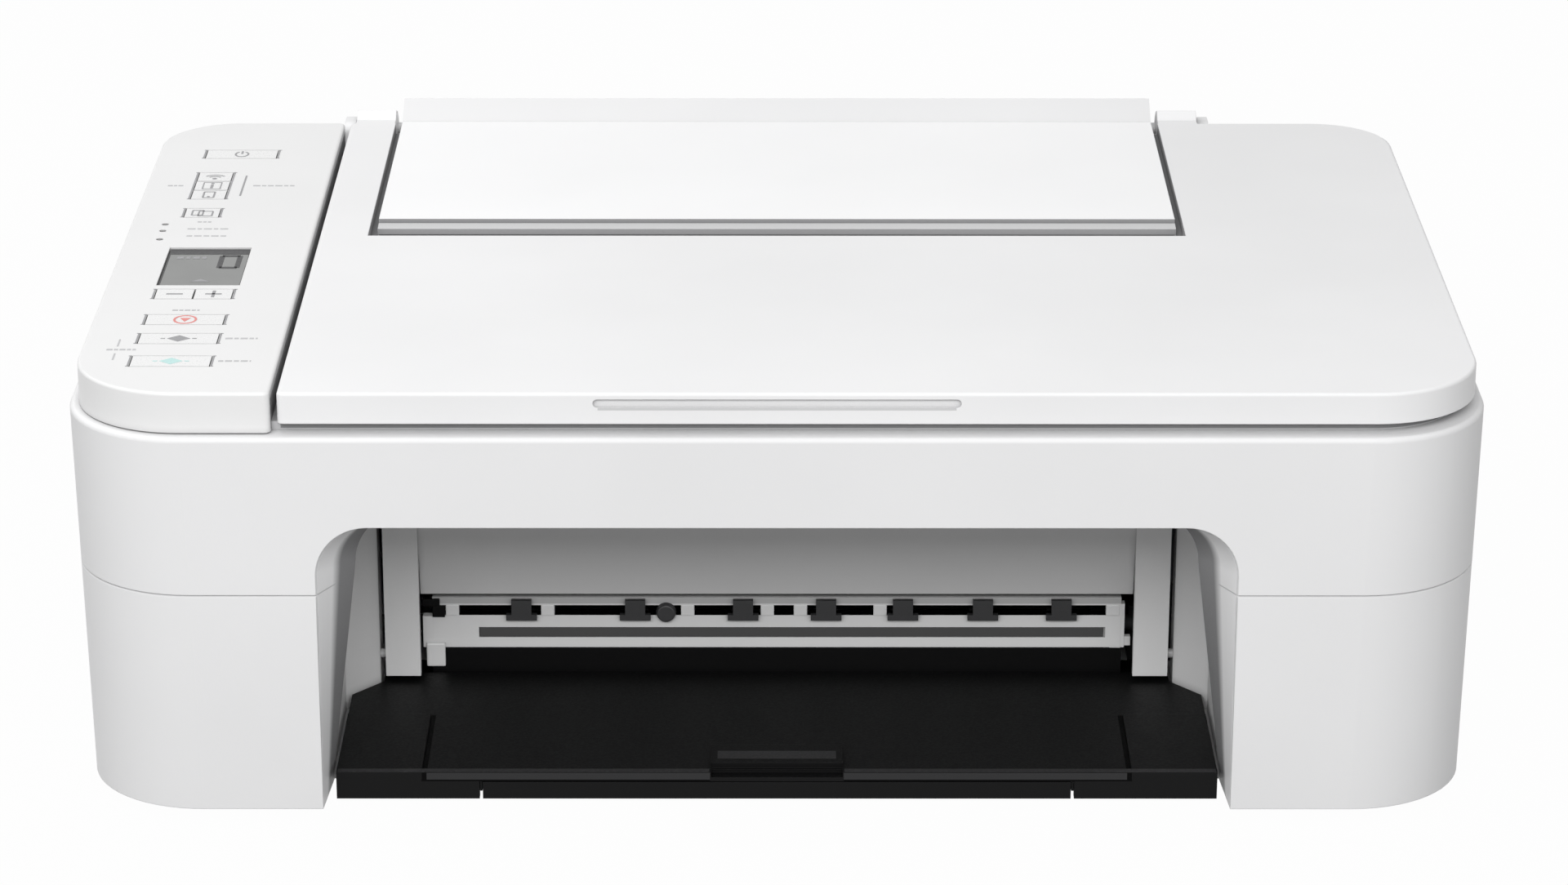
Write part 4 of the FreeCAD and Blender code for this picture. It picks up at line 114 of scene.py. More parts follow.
# Painted shade on the paper support's hump, finger lip, lip front and step, and under the lid's grip;
# the lip grey also draws the case's joint in the bay.
HUMP_PAINTED_SHADE = (0.76, 0.76, 0.765)
LIP_SHADE_AND_JOINT_GREY = (0.60, 0.60, 0.605)
LIP_FRONT_PAINTED_SHADOW = (0.30, 0.30, 0.305)
LIP_STEP_PAINTED_SHADE = (0.36, 0.36, 0.365)
# Painted shade in narrow gaps.
GAP_PAINTED_SHADE = (0.30, 0.30, 0.305)
# Near-black for dark lines on the tray, and painted shade on the floor of the outlet's gap.
LINE_AND_GAP_SHADE_BLACK = (0.0012, 0.0012, 0.0013)
# Painted highlight on the tray's lip and grip tab.
LIP_HIGHLIGHT_BLACK = (0.016, 0.016, 0.017)


# Materials: noise is counted in cells per metre

NOISE_LOW = 0.3
NOISE_HIGH = 0.7
EDGE_SAMPLES = 4
CLOUD_CELLS = 9.0
GRAIN_CELLS = 1400.0
GRAIN_DEPTH = 0.08
# Painted shade in crevices: samples, reach and how dark the colour goes.
CREVICE_SAMPLES = 6
CREVICE_REACH = 2.5
CREVICE_SHADE = 0.55
PLASTIC_INDEX = 1.49
GLASS_INDEX = 1.5
# Depths on the surround over which the painted light turns into painted shade.
SURROUND_SHADE = (CASE_FRONT + 8.0, CASE_FRONT + 11.6)


class Nodes:
    """A material's node tree with its shader, and short ways to add to it."""

    def __init__(self, name):
        self.material = bpy.data.materials.new(name)
        self.material.use_nodes = True
        self.tree = self.material.node_tree
        self.shader = self.tree.nodes["Principled BSDF"]
        self.place = self.add("ShaderNodeTexCoord").outputs["Object"]

    def add(self, kind):
        return self.tree.nodes.new(kind)

    def link(self, source, target):
        self.tree.links.new(source, target)

    def fix(self, socket, value):
        """A shader value that is the same all over the surface."""
        self.shader.inputs[socket].default_value = value

    def drive(self, socket, source):
        """A shader value that varies over the surface."""
        self.link(source, self.shader.inputs[socket])

    def noise(self, cells, detail=2.0):
        """Smooth noise, equally fine along all axes."""
        item = self.add("ShaderNodeTexNoise")
        item.inputs["Scale"].default_value = cells
        item.inputs["Detail"].default_value = detail
        self.link(self.place, item.inputs["Vector"])
        return item.outputs["Fac"]

    def stretched_noise(self, cells, detail):
        """Noise with its own number of cells along each axis."""
        mapping = self.add("ShaderNodeMapping")
        mapping.inputs["Scale"].default_value = cells
        self.link(self.place, mapping.inputs["Vector"])
        item = self.add("ShaderNodeTexNoise")
        item.inputs["Scale"].default_value = 1.0
        item.inputs["Detail"].default_value = detail
        self.link(mapping.outputs["Vector"], item.inputs["Vector"])
        return item.outputs["Fac"]

    def spread(self, value, low=0.0, high=1.0):
        """Noise values spread between two limits."""
        item = self.add("ShaderNodeMapRange")
        item.inputs["From Min"].default_value = NOISE_LOW
        item.inputs["From Max"].default_value = NOISE_HIGH
        item.inputs["To Min"].default_value = low
        item.inputs["To Max"].default_value = high
        self.link(value, item.inputs["Value"])
        return item.outputs["Result"]

    def blend(self, share, first, second):
        """Mix of two colours by a share between 0 and 1."""
        item = self.add("ShaderNodeMix")
        item.data_type = "RGBA"
        self.link(share, item.inputs["Factor"])
        for socket, colour in ((item.inputs["A"], first), (item.inputs["B"], second)):
            if isinstance(colour, tuple):
                socket.default_value = (*colour, 1.0)
            else:
                self.link(colour, socket)
        return item.outputs["Result"]

    def bump(self, height, strength, depth):
        """Surface relief from a height, on the shader."""
        item = self.add("ShaderNodeBump")
        item.inputs["Strength"].default_value = strength
        item.inputs["Distance"].default_value = depth * MM
        self.link(height, item.inputs["Height"])
        self.drive("Normal", item.outputs["Normal"])
        return item

    def soft_edges(self, radius):
        """Normal that rounds off sharp edges."""
        item = self.add("ShaderNodeBevel")
        item.samples = EDGE_SAMPLES
        item.inputs["Radius"].default_value = radius * MM
        return item.outputs["Normal"]


def shade(colour, factor):
    """A lighter or darker copy of a colour."""
    return tuple(min(1.0, part * factor) for part in colour)


def plastic(
    name, colour, roughness, grain=GRAIN_CELLS, relief=0.12, edge=0.35,
    variation=0.025, coat=0.0, gloss=0.5,
):
    """Moulded plastic: fine spark-eroded grain, faint cloudiness, softened edges, and painted shade that
    darkens the colour in crevices.
    """
    made = Nodes(name)
    cloud = made.spread(made.noise(CLOUD_CELLS, detail=3.0))
    tone = made.blend(cloud, shade(colour, 1.0 - variation), shade(colour, 1.0 + variation))
    # Painted shade: occlusion darkens the colour in crevices and narrow gaps.
    crevice = made.add("ShaderNodeAmbientOcclusion")
    crevice.samples = CREVICE_SAMPLES
    crevice.inputs["Distance"].default_value = CREVICE_REACH * MM
    dark = shade(colour, CREVICE_SHADE)
    made.drive("Base Color", made.blend(crevice.outputs["AO"], dark, tone))
    fine = made.noise(grain)
    made.drive("Roughness", made.spread(fine, low=roughness - 0.05, high=roughness + 0.06))
    relief_node = made.bump(fine, relief, GRAIN_DEPTH)
    if edge:
        made.link(made.soft_edges(edge), relief_node.inputs["Normal"])
    made.fix("IOR", PLASTIC_INDEX)
    made.fix("Coat Weight", coat)
    made.fix("Specular IOR Level", gloss)
    return made.material


def shaded_edge(name, pale, dark, start, end):
    """Painted light and shade: a pale tone at the front that turns into a shaded grey towards the back,
    between two depths.
    """
    made = Nodes(name)
    place = made.add("ShaderNodeSeparateXYZ")
    made.link(made.place, place.inputs["Vector"])
    depth = made.add("ShaderNodeMapRange")
    depth.inputs["From Min"].default_value = start * MM
    depth.inputs["From Max"].default_value = end * MM
    made.link(place.outputs["Y"], depth.inputs["Value"])
    made.drive("Base Color", made.blend(depth.outputs["Result"], pale, dark))
    made.drive("Roughness", made.spread(made.noise(GRAIN_CELLS), low=0.42, high=0.53))
    made.fix("Specular IOR Level", 0.3)
    return made.material


def rubber(name, colour):
    """Matt rubber with a dusty bloom."""
    made = Nodes(name)
    dust = made.spread(made.noise(160.0, detail=4.0))
    made.drive("Base Color", made.blend(dust, colour, shade(colour, 1.9)))
    made.drive("Roughness", made.spread(made.noise(700.0), low=0.72, high=0.9))
    made.bump(made.noise(2200.0), strength=0.3, depth=0.05)
    return made.material


def metal(name, colour, roughness, cells):
    """Metal with a drawn or turned finish along one axis."""
    made = Nodes(name)
    lines = made.stretched_noise(cells, detail=3.0)
    tone = made.blend(made.spread(lines), shade(colour, 0.86), shade(colour, 1.08))
    made.drive("Base Color", tone)
    made.fix("Metallic", 1.0)
    made.drive("Roughness", made.spread(lines, low=roughness - 0.06, high=roughness + 0.08))
    made.bump(lines, strength=0.08, depth=0.02)
    return made.material


def circuit_board(name, colour):
    """Solder mask with lighter copper areas under it."""
    made = Nodes(name)
    cells = made.add("ShaderNodeTexVoronoi")
    cells.distance = "CHEBYCHEV"
    cells.inputs["Scale"].default_value = 170.0
    made.link(made.place, cells.inputs["Vector"])
    tracks = made.spread(cells.outputs["Distance"])
    made.drive("Base Color", made.blend(tracks, shade(colour, 1.7), colour))
    made.drive("Roughness", made.spread(made.noise(300.0), low=0.28, high=0.42))
    made.bump(tracks, strength=0.25, depth=0.03)
    return made.material


def clear_glass(name, colour):
    """Scanner glass: clear, faintly green, with a trace of dust."""
    made = Nodes(name)
    dust = made.noise(420.0, detail=5.0)
    made.drive("Base Color", made.blend(made.spread(dust), colour, shade(colour, 0.97)))
    made.drive("Roughness", made.spread(dust, low=0.02, high=0.07))
    made.fix("Transmission Weight", 1.0)
    made.fix("IOR", GLASS_INDEX)
    return made.material


def display_window(name, colour):
    """Unlit liquid crystal window: grey film behind a glossy clear cover."""
    made = Nodes(name)
    film = made.spread(made.noise(60.0, detail=3.0))
    made.drive("Base Color", made.blend(film, shade(colour, 0.95), shade(colour, 1.05)))
    made.drive("Roughness", made.spread(made.noise(900.0), low=0.16, high=0.24))
    made.fix("Specular IOR Level", 0.2)
    made.fix("Coat Weight", 0.12)
    made.fix("Coat Roughness", 0.08)
    return made.material


def ink(name, colour):
    """Screen-printed ink with a slightly uneven tone."""
    made = Nodes(name)
    grain = made.spread(made.noise(2600.0, detail=3.0))
    made.drive("Base Color", made.blend(grain, shade(colour, 0.92), shade(colour, 1.1)))
    made.drive("Roughness", made.spread(made.noise(1200.0), low=0.4, high=0.52))
    return made.material


MATERIALS = {
    "case": plastic("case_plastic", WHITE_CASE, 0.5, grain=1500.0, relief=0.16, gloss=0.35),
    "lid": plastic("lid_plastic", WHITE_LID, 0.46, grain=1500.0, gloss=0.35),
    "panel": plastic("panel_plastic", WHITE_PANEL, 0.33, grain=1800.0, relief=0.06),
    "support": plastic("support_plastic", WHITE_SUPPORT, 0.38, grain=1500.0),
    "key": plastic("key_plastic", WHITE_PANEL, 0.30, grain=1800.0, relief=0.05, edge=0.2),
    "pad": plastic("pad_film", WHITE_PAD, 0.5, grain=700.0, relief=0.2, edge=0.0),
    "cover": plastic("cover_plastic", GREY_COVER, 0.45),
    "wall": plastic("bay_wall_plastic", GREY_WALL, 0.45),
    "frame": plastic("frame_plastic", WHITE_FRAME, 0.4, edge=0.2),
    "tub": plastic("tub_plastic", GREY_TUB, 0.5),
    "tray": plastic(
        "tray_plastic", BLACK_TRAY, 0.5, grain=1300.0, relief=0.3, variation=0.06, gloss=0.13
    ),
    # Painted highlight on the tray's lip and grip tab.
    "tray_lip": plastic(
        "tray_lip_painted_highlight", LIP_HIGHLIGHT_BLACK, 0.4, grain=1300.0, relief=0.2, edge=0.0, gloss=0.3
    ),
    # Near-black for dark lines on the tray, and painted shade on the floor of the outlet's gap.
    "tray_line": plastic("dark_line_and_gap_shade", LINE_AND_GAP_SHADE_BLACK, 0.6, relief=0.3, edge=0.0, gloss=0.05),
    # Painted shade on the paper support's hump, lip, lip front and step, and under the lid's grip; the
    # lip grey also draws the case's joint in the bay.
    "hump": plastic("hump_painted_shade", HUMP_PAINTED_SHADE, 0.42, edge=0.0),
    "lip": plastic("lip_shade_and_joint_grey", LIP_SHADE_AND_JOINT_GREY, 0.45, edge=0.0),
    "lip_front": plastic("lip_front_painted_shadow", LIP_FRONT_PAINTED_SHADOW, 0.6, edge=0.0, gloss=0.1),
    "lip_step": plastic("lip_step_painted_shade", LIP_STEP_PAINTED_SHADE, 0.6, edge=0.0, gloss=0.1),
    # Painted shade in narrow gaps.
    "gap": plastic("gap_painted_shade", GAP_PAINTED_SHADE, 0.6, edge=0.0, gloss=0.1),
    # Painted light and shade on the bay's surround.
    "bay_edge": shaded_edge("bay_edge_painted_light_and_shade", SURROUND_PAINTED_LIGHT, SHADE_GREY, *SURROUND_SHADE),
    "outlet_top": plastic("outlet_top_plastic", OUTLET_GREY, 0.5, edge=0.0, gloss=0.3),
    "dark": plastic("dark_plastic", BLACK_PARTS, 0.45, relief=0.2, variation=0.06),
    "cartridge": plastic("cartridge_plastic", GREY_CARTRIDGE, 0.35),
    "gear": plastic("gear_plastic", IVORY_GEAR, 0.36, edge=0.1),
    "lamp": plastic("lamp_lens", GREY_LAMP, 0.2, edge=0.15, coat=0.5),
    "board": circuit_board("board_mask", GREEN_BOARD),
    "display": display_window("display_film", GREY_DISPLAY),
    "glass": clear_glass("scan_glass", GLASS),
    "rubber": rubber("soft_rubber", RUBBER),
    "sheet_steel": metal("sheet_steel", STEEL, 0.34, (40.0, 900.0, 900.0)),
    "turned_steel": metal("turned_steel", STEEL, 0.24, (1200.0, 60.0, 60.0)),
    "brass": metal("turned_brass", BRASS, 0.3, (900.0, 80.0, 80.0)),
    "ink": ink("grey_ink", INK_GREY),
    "pale_ink": ink("pale_ink", INK_PALE),
    "dark_ink": ink("dark_ink", INK_DARK),
    "red_ink": ink("red_ink", INK_RED),
    "teal_ink": ink("teal_ink", INK_TEAL),
    "strip": plastic("strip_plastic", STRIP_GREY, 0.45, edge=0.0),
    "knob": plastic("knob_plastic", KNOB_GREY, 0.4, edge=0.15),
}

NODE_LOOKS = {
    "case": ("lower_case", "upper_case", "rear_housing"),
    "lid": ("document_lid",),
    "panel": ("control_panel",),
    "support": ("paper_support",),
    "pad": ("lid_pad",),
    "cover": ("cartridge_cover",),
    "wall": ("side_wall_left", "side_wall_right", "paper_guide_left", "paper_guide_right"),
    "frame": ("eject_frame",),
    "tub": ("scanner_frame",),
    "tray": ("output_tray", "tray_extension", "tray_base"),
    "dark": (
        "scan_bar", "platen", "carriage", "paper_chute", "power_supply", "power_inlet",
        "maintenance_station", "cartridge_black",
    ),
    "knob": ("star_wheel_blocks",),
    "cartridge": ("cartridge_color",),
    "gear": ("feed_gear", "eject_gear", "idler_gear", "idler_pulley"),
    "lamp": ("status_leds",),
    "board": ("panel_board", "main_board"),
    "display": ("lcd_module",),
    "glass": ("scanner_glass",),
    "rubber": ("rubber_feet", "eject_roller", "pickup_roller", "timing_belt"),
    "sheet_steel": ("chassis", "feed_motor", "carriage_motor", "usb_port"),
    "turned_steel": ("carriage_rod", "feed_roller", "chassis_screws"),
    "brass": ("motor_pinion", "drive_pulley"),
    "key": tuple(name for name in nodes if name.endswith("_button")),
}

for look, names in NODE_LOOKS.items():
    for name in names:
        nodes[name].data.materials.clear()
        nodes[name].data.materials.append(MATERIALS[look])


# Outlines in the plane, as lists of corners

ARC_STEPS = 20


def rectangle(across, along):
    """Corners of a rectangle over two spans."""
    left, right = across
    front, back = along
    return [(left, front), (right, front), (right, back), (left, back)]


def stroke(points, wide):
    """Outlines of a line of a given width through points."""
    outlines = []
    for start, end in zip(points, points[1:]):
        begin = Vector(start)
        finish = Vector(end)
        along = finish - begin
        across = Vector((-along.y, along.x)).normalized() * wide / 2
        ring = (begin - across, finish - across, finish + across, begin + across)
        outlines.append([tuple(corner) for corner in ring])
    return outlines


def arc_points(middle, radius, start, end, stretch=1.0):
    """Points on an arc, angles in degrees, with the depth direction stretched."""
    points = []
    for step in range(ARC_STEPS + 1):
        angle = math.radians(start + (end - start) * step / ARC_STEPS)
        x = middle[0] + radius * math.cos(angle)
        y = middle[1] + stretch * radius * math.sin(angle)
        points.append((x, y))
    return points


def arc(middle, radius, start, end, wide, stretch=1.0):
    """Outlines of a curved line."""
    return stroke(arc_points(middle, radius, start, end, stretch), wide)


def disc(middle, radius):
    """Outline of a filled circle."""
    return [arc_points(middle, radius, 0, 360)[:-1]]


def frame_line(across, along, wide):
    """Outlines of an open rectangle."""
    corners = rectangle(across, along)
    return stroke(corners + corners[:1], wide)


def dashes(left, right, place, lengths, gap, wide):
    """A broken line that stands for a label."""
    outlines = []
    start = left
    index = 0
    while start < right:
        end = min(start + lengths[index % len(lengths)], right)
        outlines += stroke([(start, place), (end, place)], wide)
        start = end + gap
        index += 1
    return outlines


# Corners of rectangles in space

def lying(across, along, height):
    """A level rectangle."""
    return [(x, y, height) for x, y in rectangle(across, along)]


def facing(across, depth, heights):
    """An upright rectangle that faces forwards."""
    return [(x, depth, z) for x, z in rectangle(across, heights)]


def sideways(place, along, heights):
    """An upright rectangle that faces sideways."""
    return [(place, y, z) for y, z in rectangle(along, heights)]


# Mesh pieces

def add_piece(name, mesh, look, body):
    """A new mesh object with its material, riding on a body."""
    mesh.materials.append(MATERIALS[look])
    item = bpy.data.objects.new(name, mesh)
    bpy.context.scene.collection.objects.link(item)
    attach(item, body)
    return item


def finished_mesh(name, shape):
    """Mesh of a built-up shape, with its faces turned outwards."""
    bmesh.ops.recalc_face_normals(shape, faces=shape.faces)
    mesh = bpy.data.meshes.new(name)
    shape.to_mesh(mesh)
    shape.free()
    return mesh


def close_between(shape, base, top):
    """Both end faces and the side faces of two equal rings of corners."""
    shape.faces.new(list(reversed(base)))
    shape.faces.new(top)
    count = len(base)
    for index in range(count):
        after = (index + 1) % count
        shape.faces.new((base[index], base[after], top[after], top[index]))


def prisms(name, outlines, low, high):
    """One mesh of upright prisms over closed outlines."""
    shape = bmesh.new()
    for outline in outlines:
        base = [shape.verts.new((x * MM, y * MM, low * MM)) for x, y in outline]
        top = [shape.verts.new((x * MM, y * MM, high * MM)) for x, y in outline]
        close_between(shape, base, top)
    return finished_mesh(name, shape)


def round_off(item, width, segments=2):
    """Rounded edges on a piece."""
    edges = item.modifiers.new("rounded", "BEVEL")
    edges.width = width * MM
    edges.segments = segments


def solid_box(name, across, along, heights, edge, look, slot, body="printer"):
    """Block with rounded edges."""
    mesh = prisms(name, [rectangle(across, along)], *heights)
    round_off(add_piece(name, mesh, look, body), edge)


def slab(name, corners, push, look, body):
    """Thin plate over flat corners in space, pushed out by a small step."""
    shape = bmesh.new()
    base = [shape.verts.new(Vector(corner) * MM) for corner in corners]
    top = [shape.verts.new((Vector(corner) + Vector(push)) * MM) for corner in corners]
    close_between(shape, base, top)
    add_piece(name, finished_mesh(name, shape), look, body)


def skin(name, rows, look):
    """Thin sheet over rows of points in space."""
    shape = bmesh.new()
    lines = [[shape.verts.new(point * MM) for point in row] for row in rows]
    for lower, upper in zip(lines, lines[1:]):
        for index in range(len(lower) - 1):
            shape.faces.new((lower[index], lower[index + 1], upper[index + 1], upper[index]))
    item = add_piece(name, finished_mesh(name, shape), look, "printer")
    thick = item.modifiers.new("thickness", "SOLIDIFY")
    thick.thickness = SKIN * MM
    thick.offset = 0.0


# Print on the panel, the keys and the display

PRINT_LIFT = 0.02
PRINT_THICK = 0.05
KEY_FLANGE = 1.0
BRACKET_WIDE = 0.5
BRACKET_GAP = 0.7
BRACKET_TICK = 1.3
BRACKET_TICK_WIDE = 0.4
BRACKETED_KEYS = (
    "power_button", "paper_button", "stop_button", "black_start_button", "color_start_button",
)
SEPARATOR_GAP = 4.0
SEPARATOR_SHORT = 3.5
SEPARATOR_WIDE = 0.6


def print_on_panel(name, outlines, look="ink", body="printer", surface=PANEL_TOP):
    """Printed marks lying on a level surface."""
    low = surface + PRINT_LIFT
    mesh = prisms(name, outlines, low, low + PRINT_THICK)
    add_piece(name, mesh, look, body)


def plan_span(name):
    """Left, right, front and back of a node."""
    low, high = box(name)
    return low.x, high.x, low.y, high.y


def plan_middle(name):
    """Middle of a node, seen from above."""
    left, right, front, back = plan_span(name)
    return (left + right) / 2, (front + back) / 2


def brackets(left, right, front, back):
    """Square bracket marks just outside a key."""
    outlines = []
    for edge, inward in ((left - BRACKET_GAP, 1), (right + BRACKET_GAP, -1)):
        outlines += stroke([(edge, front), (edge, back)], BRACKET_WIDE)
        outside = edge - inward * BRACKET_TICK / 2
        inside = edge + inward * BRACKET_TICK / 4
        for end in (front, back):
            outlines += stroke([(outside, end), (inside, end)], BRACKET_TICK_WIDE)
    return outlines


def panel_brackets():
    """Bracket marks round the keys, and the separator beside the stacked keys."""
    outlines = []
    for name in BRACKETED_KEYS:
        left, right, front, back = plan_span(name)
        outlines += brackets(left + KEY_FLANGE, right - KEY_FLANGE, front, back)
    left, right, front, _ = plan_span("direct_button")
    back = plan_span("network_button")[3]
    outlines += brackets(left + KEY_FLANGE, right - KEY_FLANGE, front, back)
    beside = right + SEPARATOR_GAP
    ends = [(beside, front + SEPARATOR_SHORT), (beside, back - SEPARATOR_SHORT)]
    outlines += stroke(ends, SEPARATOR_WIDE)
    left, _, front, back = plan_span("copies_less_button")
    right = plan_span("copies_more_button")[1]
    outlines += brackets(left, right, front + KEY_FLANGE, back - KEY_FLANGE)
    print_on_panel("panel_brackets", outlines)


# Lead lines from the two start keys to the label between them.
LEAD_PLACE = 11.0
LEAD_WIDE = 0.5
LEAD_FROM_BLACK = (-1.0, -7.5)
LEAD_FROM_COLOUR = (1.0, 7.0)


def panel_labels():
    """Broken lines where labels stand, and the lead lines of the start keys."""
    info = plan_middle("info_button")[1]
    black = plan_middle("black_start_button")[1]
    colour = plan_middle("color_start_button")[1]
    _, _, display_front, display_back = plan_span("lcd_module")
    # Both ends from the panel's left edge, place in depth, lengths of the dashes, gap and width.
    rows = (
        (7.5, 12.7, info, (1.6, 1.0), 0.5, 1.1),
        (36.5, 50.5, info, (2.4, 1.4, 1.9), 0.6, 1.1),
        (43.5, 53.5, black, (2.2, 1.3), 0.6, 1.2),
        (43.5, 53.5, colour, (1.5, 2.1), 0.6, 1.2),
        (8.0, 17.0, (black + colour) / 2, (1.8, 1.2), 0.5, 1.2),
        (24.0, 32.5, display_front - 25.0, (1.7, 1.2), 0.5, 1.1),
        (19.5, 33.0, display_back + 20.0, (2.6, 1.4), 0.7, 1.0),
        (20.0, 33.0, display_back + 12.5, (1.8, 2.4), 0.7, 1.0),
        (22.0, 26.5, display_back + 27.5, (1.4, 1.0), 0.5, 1.0),
    )
    labels = []
    for left, right, place, lengths, gap, wide in rows:
        labels += dashes(PANEL_LOW.x + left, PANEL_LOW.x + right, place, lengths, gap, wide)
    across = PANEL_LOW.x + LEAD_PLACE
    for key, ends in ((black, LEAD_FROM_BLACK), (colour, LEAD_FROM_COLOUR)):
        labels += stroke([(across, key + end) for end in ends], LEAD_WIDE)
    print_on_panel("panel_labels", labels, "pale_ink")


# The signs on the keys are drawn round the key's middle, x to the right and y to the back.
SIGN_LINE = 0.6


def power_sign(x, y):
    """Open ring with a stem in its gap."""
    ring = arc((x, y), radius=2.2, start=-240, end=60, wide=SIGN_LINE, stretch=1.3)
    return ring + stroke([(x, y + 0.4), (x, y + 3.4)], wide=0.7)


def network_sign(x, y):
    """Dot with two waves over it."""
    source = (x, y - 2.2)
    outlines = disc(source, radius=0.8)
    for radius in (2.4, 4.0):
        outlines += arc(source, radius, start=40, end=140, wide=SIGN_LINE)
    return outlines


def info_sign(x, y):
    """Dot and stem in a frame."""
    border = frame_line((x - 3.0, x + 3.0), (y - 3.6, y + 3.6), wide=0.4)
    stem = stroke([(x, y - 2.8), (x, y + 1.2)], wide=0.9)
    return border + disc((x, y + 2.5), radius=0.6) + stem


def direct_sign(x, y):
    """Small hand-held device with one round key."""
    border = frame_line((x - 1.8, x + 1.8), (y - 3.2, y + 3.2), wide=SIGN_LINE)
    return border + disc((x, y - 2.0), radius=0.5)


def paper_sign(x, y):
    """Two overlapping sheets."""
    rear = frame_line((x - 3.4, x + 0.2), (y - 2.6, y + 2.6), wide=0.55)
    return rear + frame_line((x - 1.2, x + 3.4), (y - 3.4, y + 1.6), wide=0.55)


def less_sign(x, y):
    """Level stroke."""
    return stroke([(x - 2.6, y), (x + 2.6, y)], wide=1.0)


def more_sign(x, y):
    """Level stroke crossed by a second one."""
    return less_sign(x, y) + stroke([(x, y - 3.2), (x, y + 3.2)], wide=1.0)


def stop_sign(x, y):
    """Triangle in a ring."""
    ring = arc((x, y), radius=3.4, start=0, end=360, wide=0.7, stretch=1.1)
    return ring + [[(x - 1.7, y + 1.4), (x, y - 2.0), (x + 1.7, y + 1.4)]]


def start_sign(x, y):
    """Diamond between two short strokes."""
    diamond = [[(x - 3.6, y), (x, y - 2.9), (x + 3.6, y), (x, y + 2.9)]]
    before = stroke([(x - 5.6, y), (x - 4.2, y)], SIGN_LINE)
    return diamond + before + stroke([(x + 4.2, y), (x + 5.6, y)], SIGN_LINE)


KEY_SIGNS = {
    "power_button": (power_sign, "ink"),
    "network_button": (network_sign, "ink"),
    "info_button": (info_sign, "ink"),
    "direct_button": (direct_sign, "ink"),
    "paper_button": (paper_sign, "ink"),
    "copies_less_button": (less_sign, "ink"),
    "copies_more_button": (more_sign, "ink"),
    "stop_button": (stop_sign, "red_ink"),
    "black_start_button": (start_sign, "ink"),
    "color_start_button": (start_sign, "teal_ink"),
}


def key_signs():
    """Generic signs on the ten keys, each riding with its key."""
    for name, (sign, look) in KEY_SIGNS.items():
        outlines = sign(*plan_middle(name))
        print_on_panel(name.replace("_button", "_icon"), outlines, look, name)


DARK_BAND = 5.2
DARK_EDGE = 0.5
DIGIT_WIDE = 5.8
DIGIT_HIGH = 12.0
DIGIT_LINE = 1.7
DIGIT_FROM_RIGHT = 2.6
DIGIT_FROM_DARK_BAND = 1.6
MARKS_FROM_LEFT = (3.0, 13.0)
MARKS_FROM_DARK_BAND = 3.4
MARK_LENGTHS = (2.2, 1.4)
MARK_GAP = 0.8
MARK_WIDE = 2.2
ARROW_HALF = 3.2
ARROW_FROM_FRONT = (5.0, 7.6)


def display_content():
    """Dark bands along two edges of the display, one large digit and a few plain signs."""
    left, right, front, back = plan_span("lcd_module")
    clear_back = back - DARK_BAND
    mask = [
        rectangle((left, right), (clear_back, back)),
        rectangle((left, left + DARK_EDGE), (front, clear_back)),
    ]
    digit_right = right - DIGIT_FROM_RIGHT
    digit_back = clear_back - DIGIT_FROM_DARK_BAND
    across = (digit_right - DIGIT_WIDE, digit_right)
    digit = frame_line(across, (digit_back - DIGIT_HIGH, digit_back), DIGIT_LINE)
    start, end = MARKS_FROM_LEFT
    place = clear_back - MARKS_FROM_DARK_BAND
    signs = dashes(left + start, left + end, place, MARK_LENGTHS, MARK_GAP, MARK_WIDE)
    middle = (left + right) / 2
    foot, tip = ARROW_FROM_FRONT
    arrow = [
        (middle - ARROW_HALF, front + foot),
        (middle + ARROW_HALF, front + foot),
        (middle, front + tip),
    ]
    print_on_panel("display_dark_bands", mask, "dark_ink", "printer", DISPLAY_TOP)
    print_on_panel("display_digit", digit, "dark_ink", "printer", DISPLAY_TOP)
    print_on_panel("display_signs", signs + [arrow], "ink", "printer", DISPLAY_TOP)


# Paper outlet, with depths counted backwards from the front of the eject frame

OUTLET_LOW, OUTLET_HIGH = box("eject_frame")
OUTLET_FRONT = OUTLET_LOW.y
OUTLET_HALF = OUTLET_HIGH.x
OUTLET_SPAN = (-OUTLET_HALF, OUTLET_HALF)
BAR_LOW = 19.7
BAR_HIGH = 31.0
BRIDGE_HEIGHTS = (35.1, 37.1)
POST_PLACES = (-105.5, -74.5, -29.0, -3.1, 7.7, 33.6, 109.3)
POST_HALF = 2.2
POST_DEPTHS = (-0.2, 3.0)
POST_HEIGHTS = (BAR_HIGH - 0.2, BRIDGE_HEIGHTS[0] - 0.4)
POST_EDGE = 0.3
GAP_DEPTHS = (0.1, 3.9)
APRON_SPAN = (-OUTLET_HALF - 0.3, OUTLET_HALF + 0.3)
KNOB_PLACE = (-36.0, OUTLET_FRONT - 0.8, 32.2)
KNOB_RADII = (3.4, 2.9)
KNOB_LONG = 2.4
KNOB_EDGE = 0.4
KNOB_SIDES = 32
WHITE_TRIM = ("frame", "frame_white")
DARK_TRIM = ("tray", "dark_plastic")

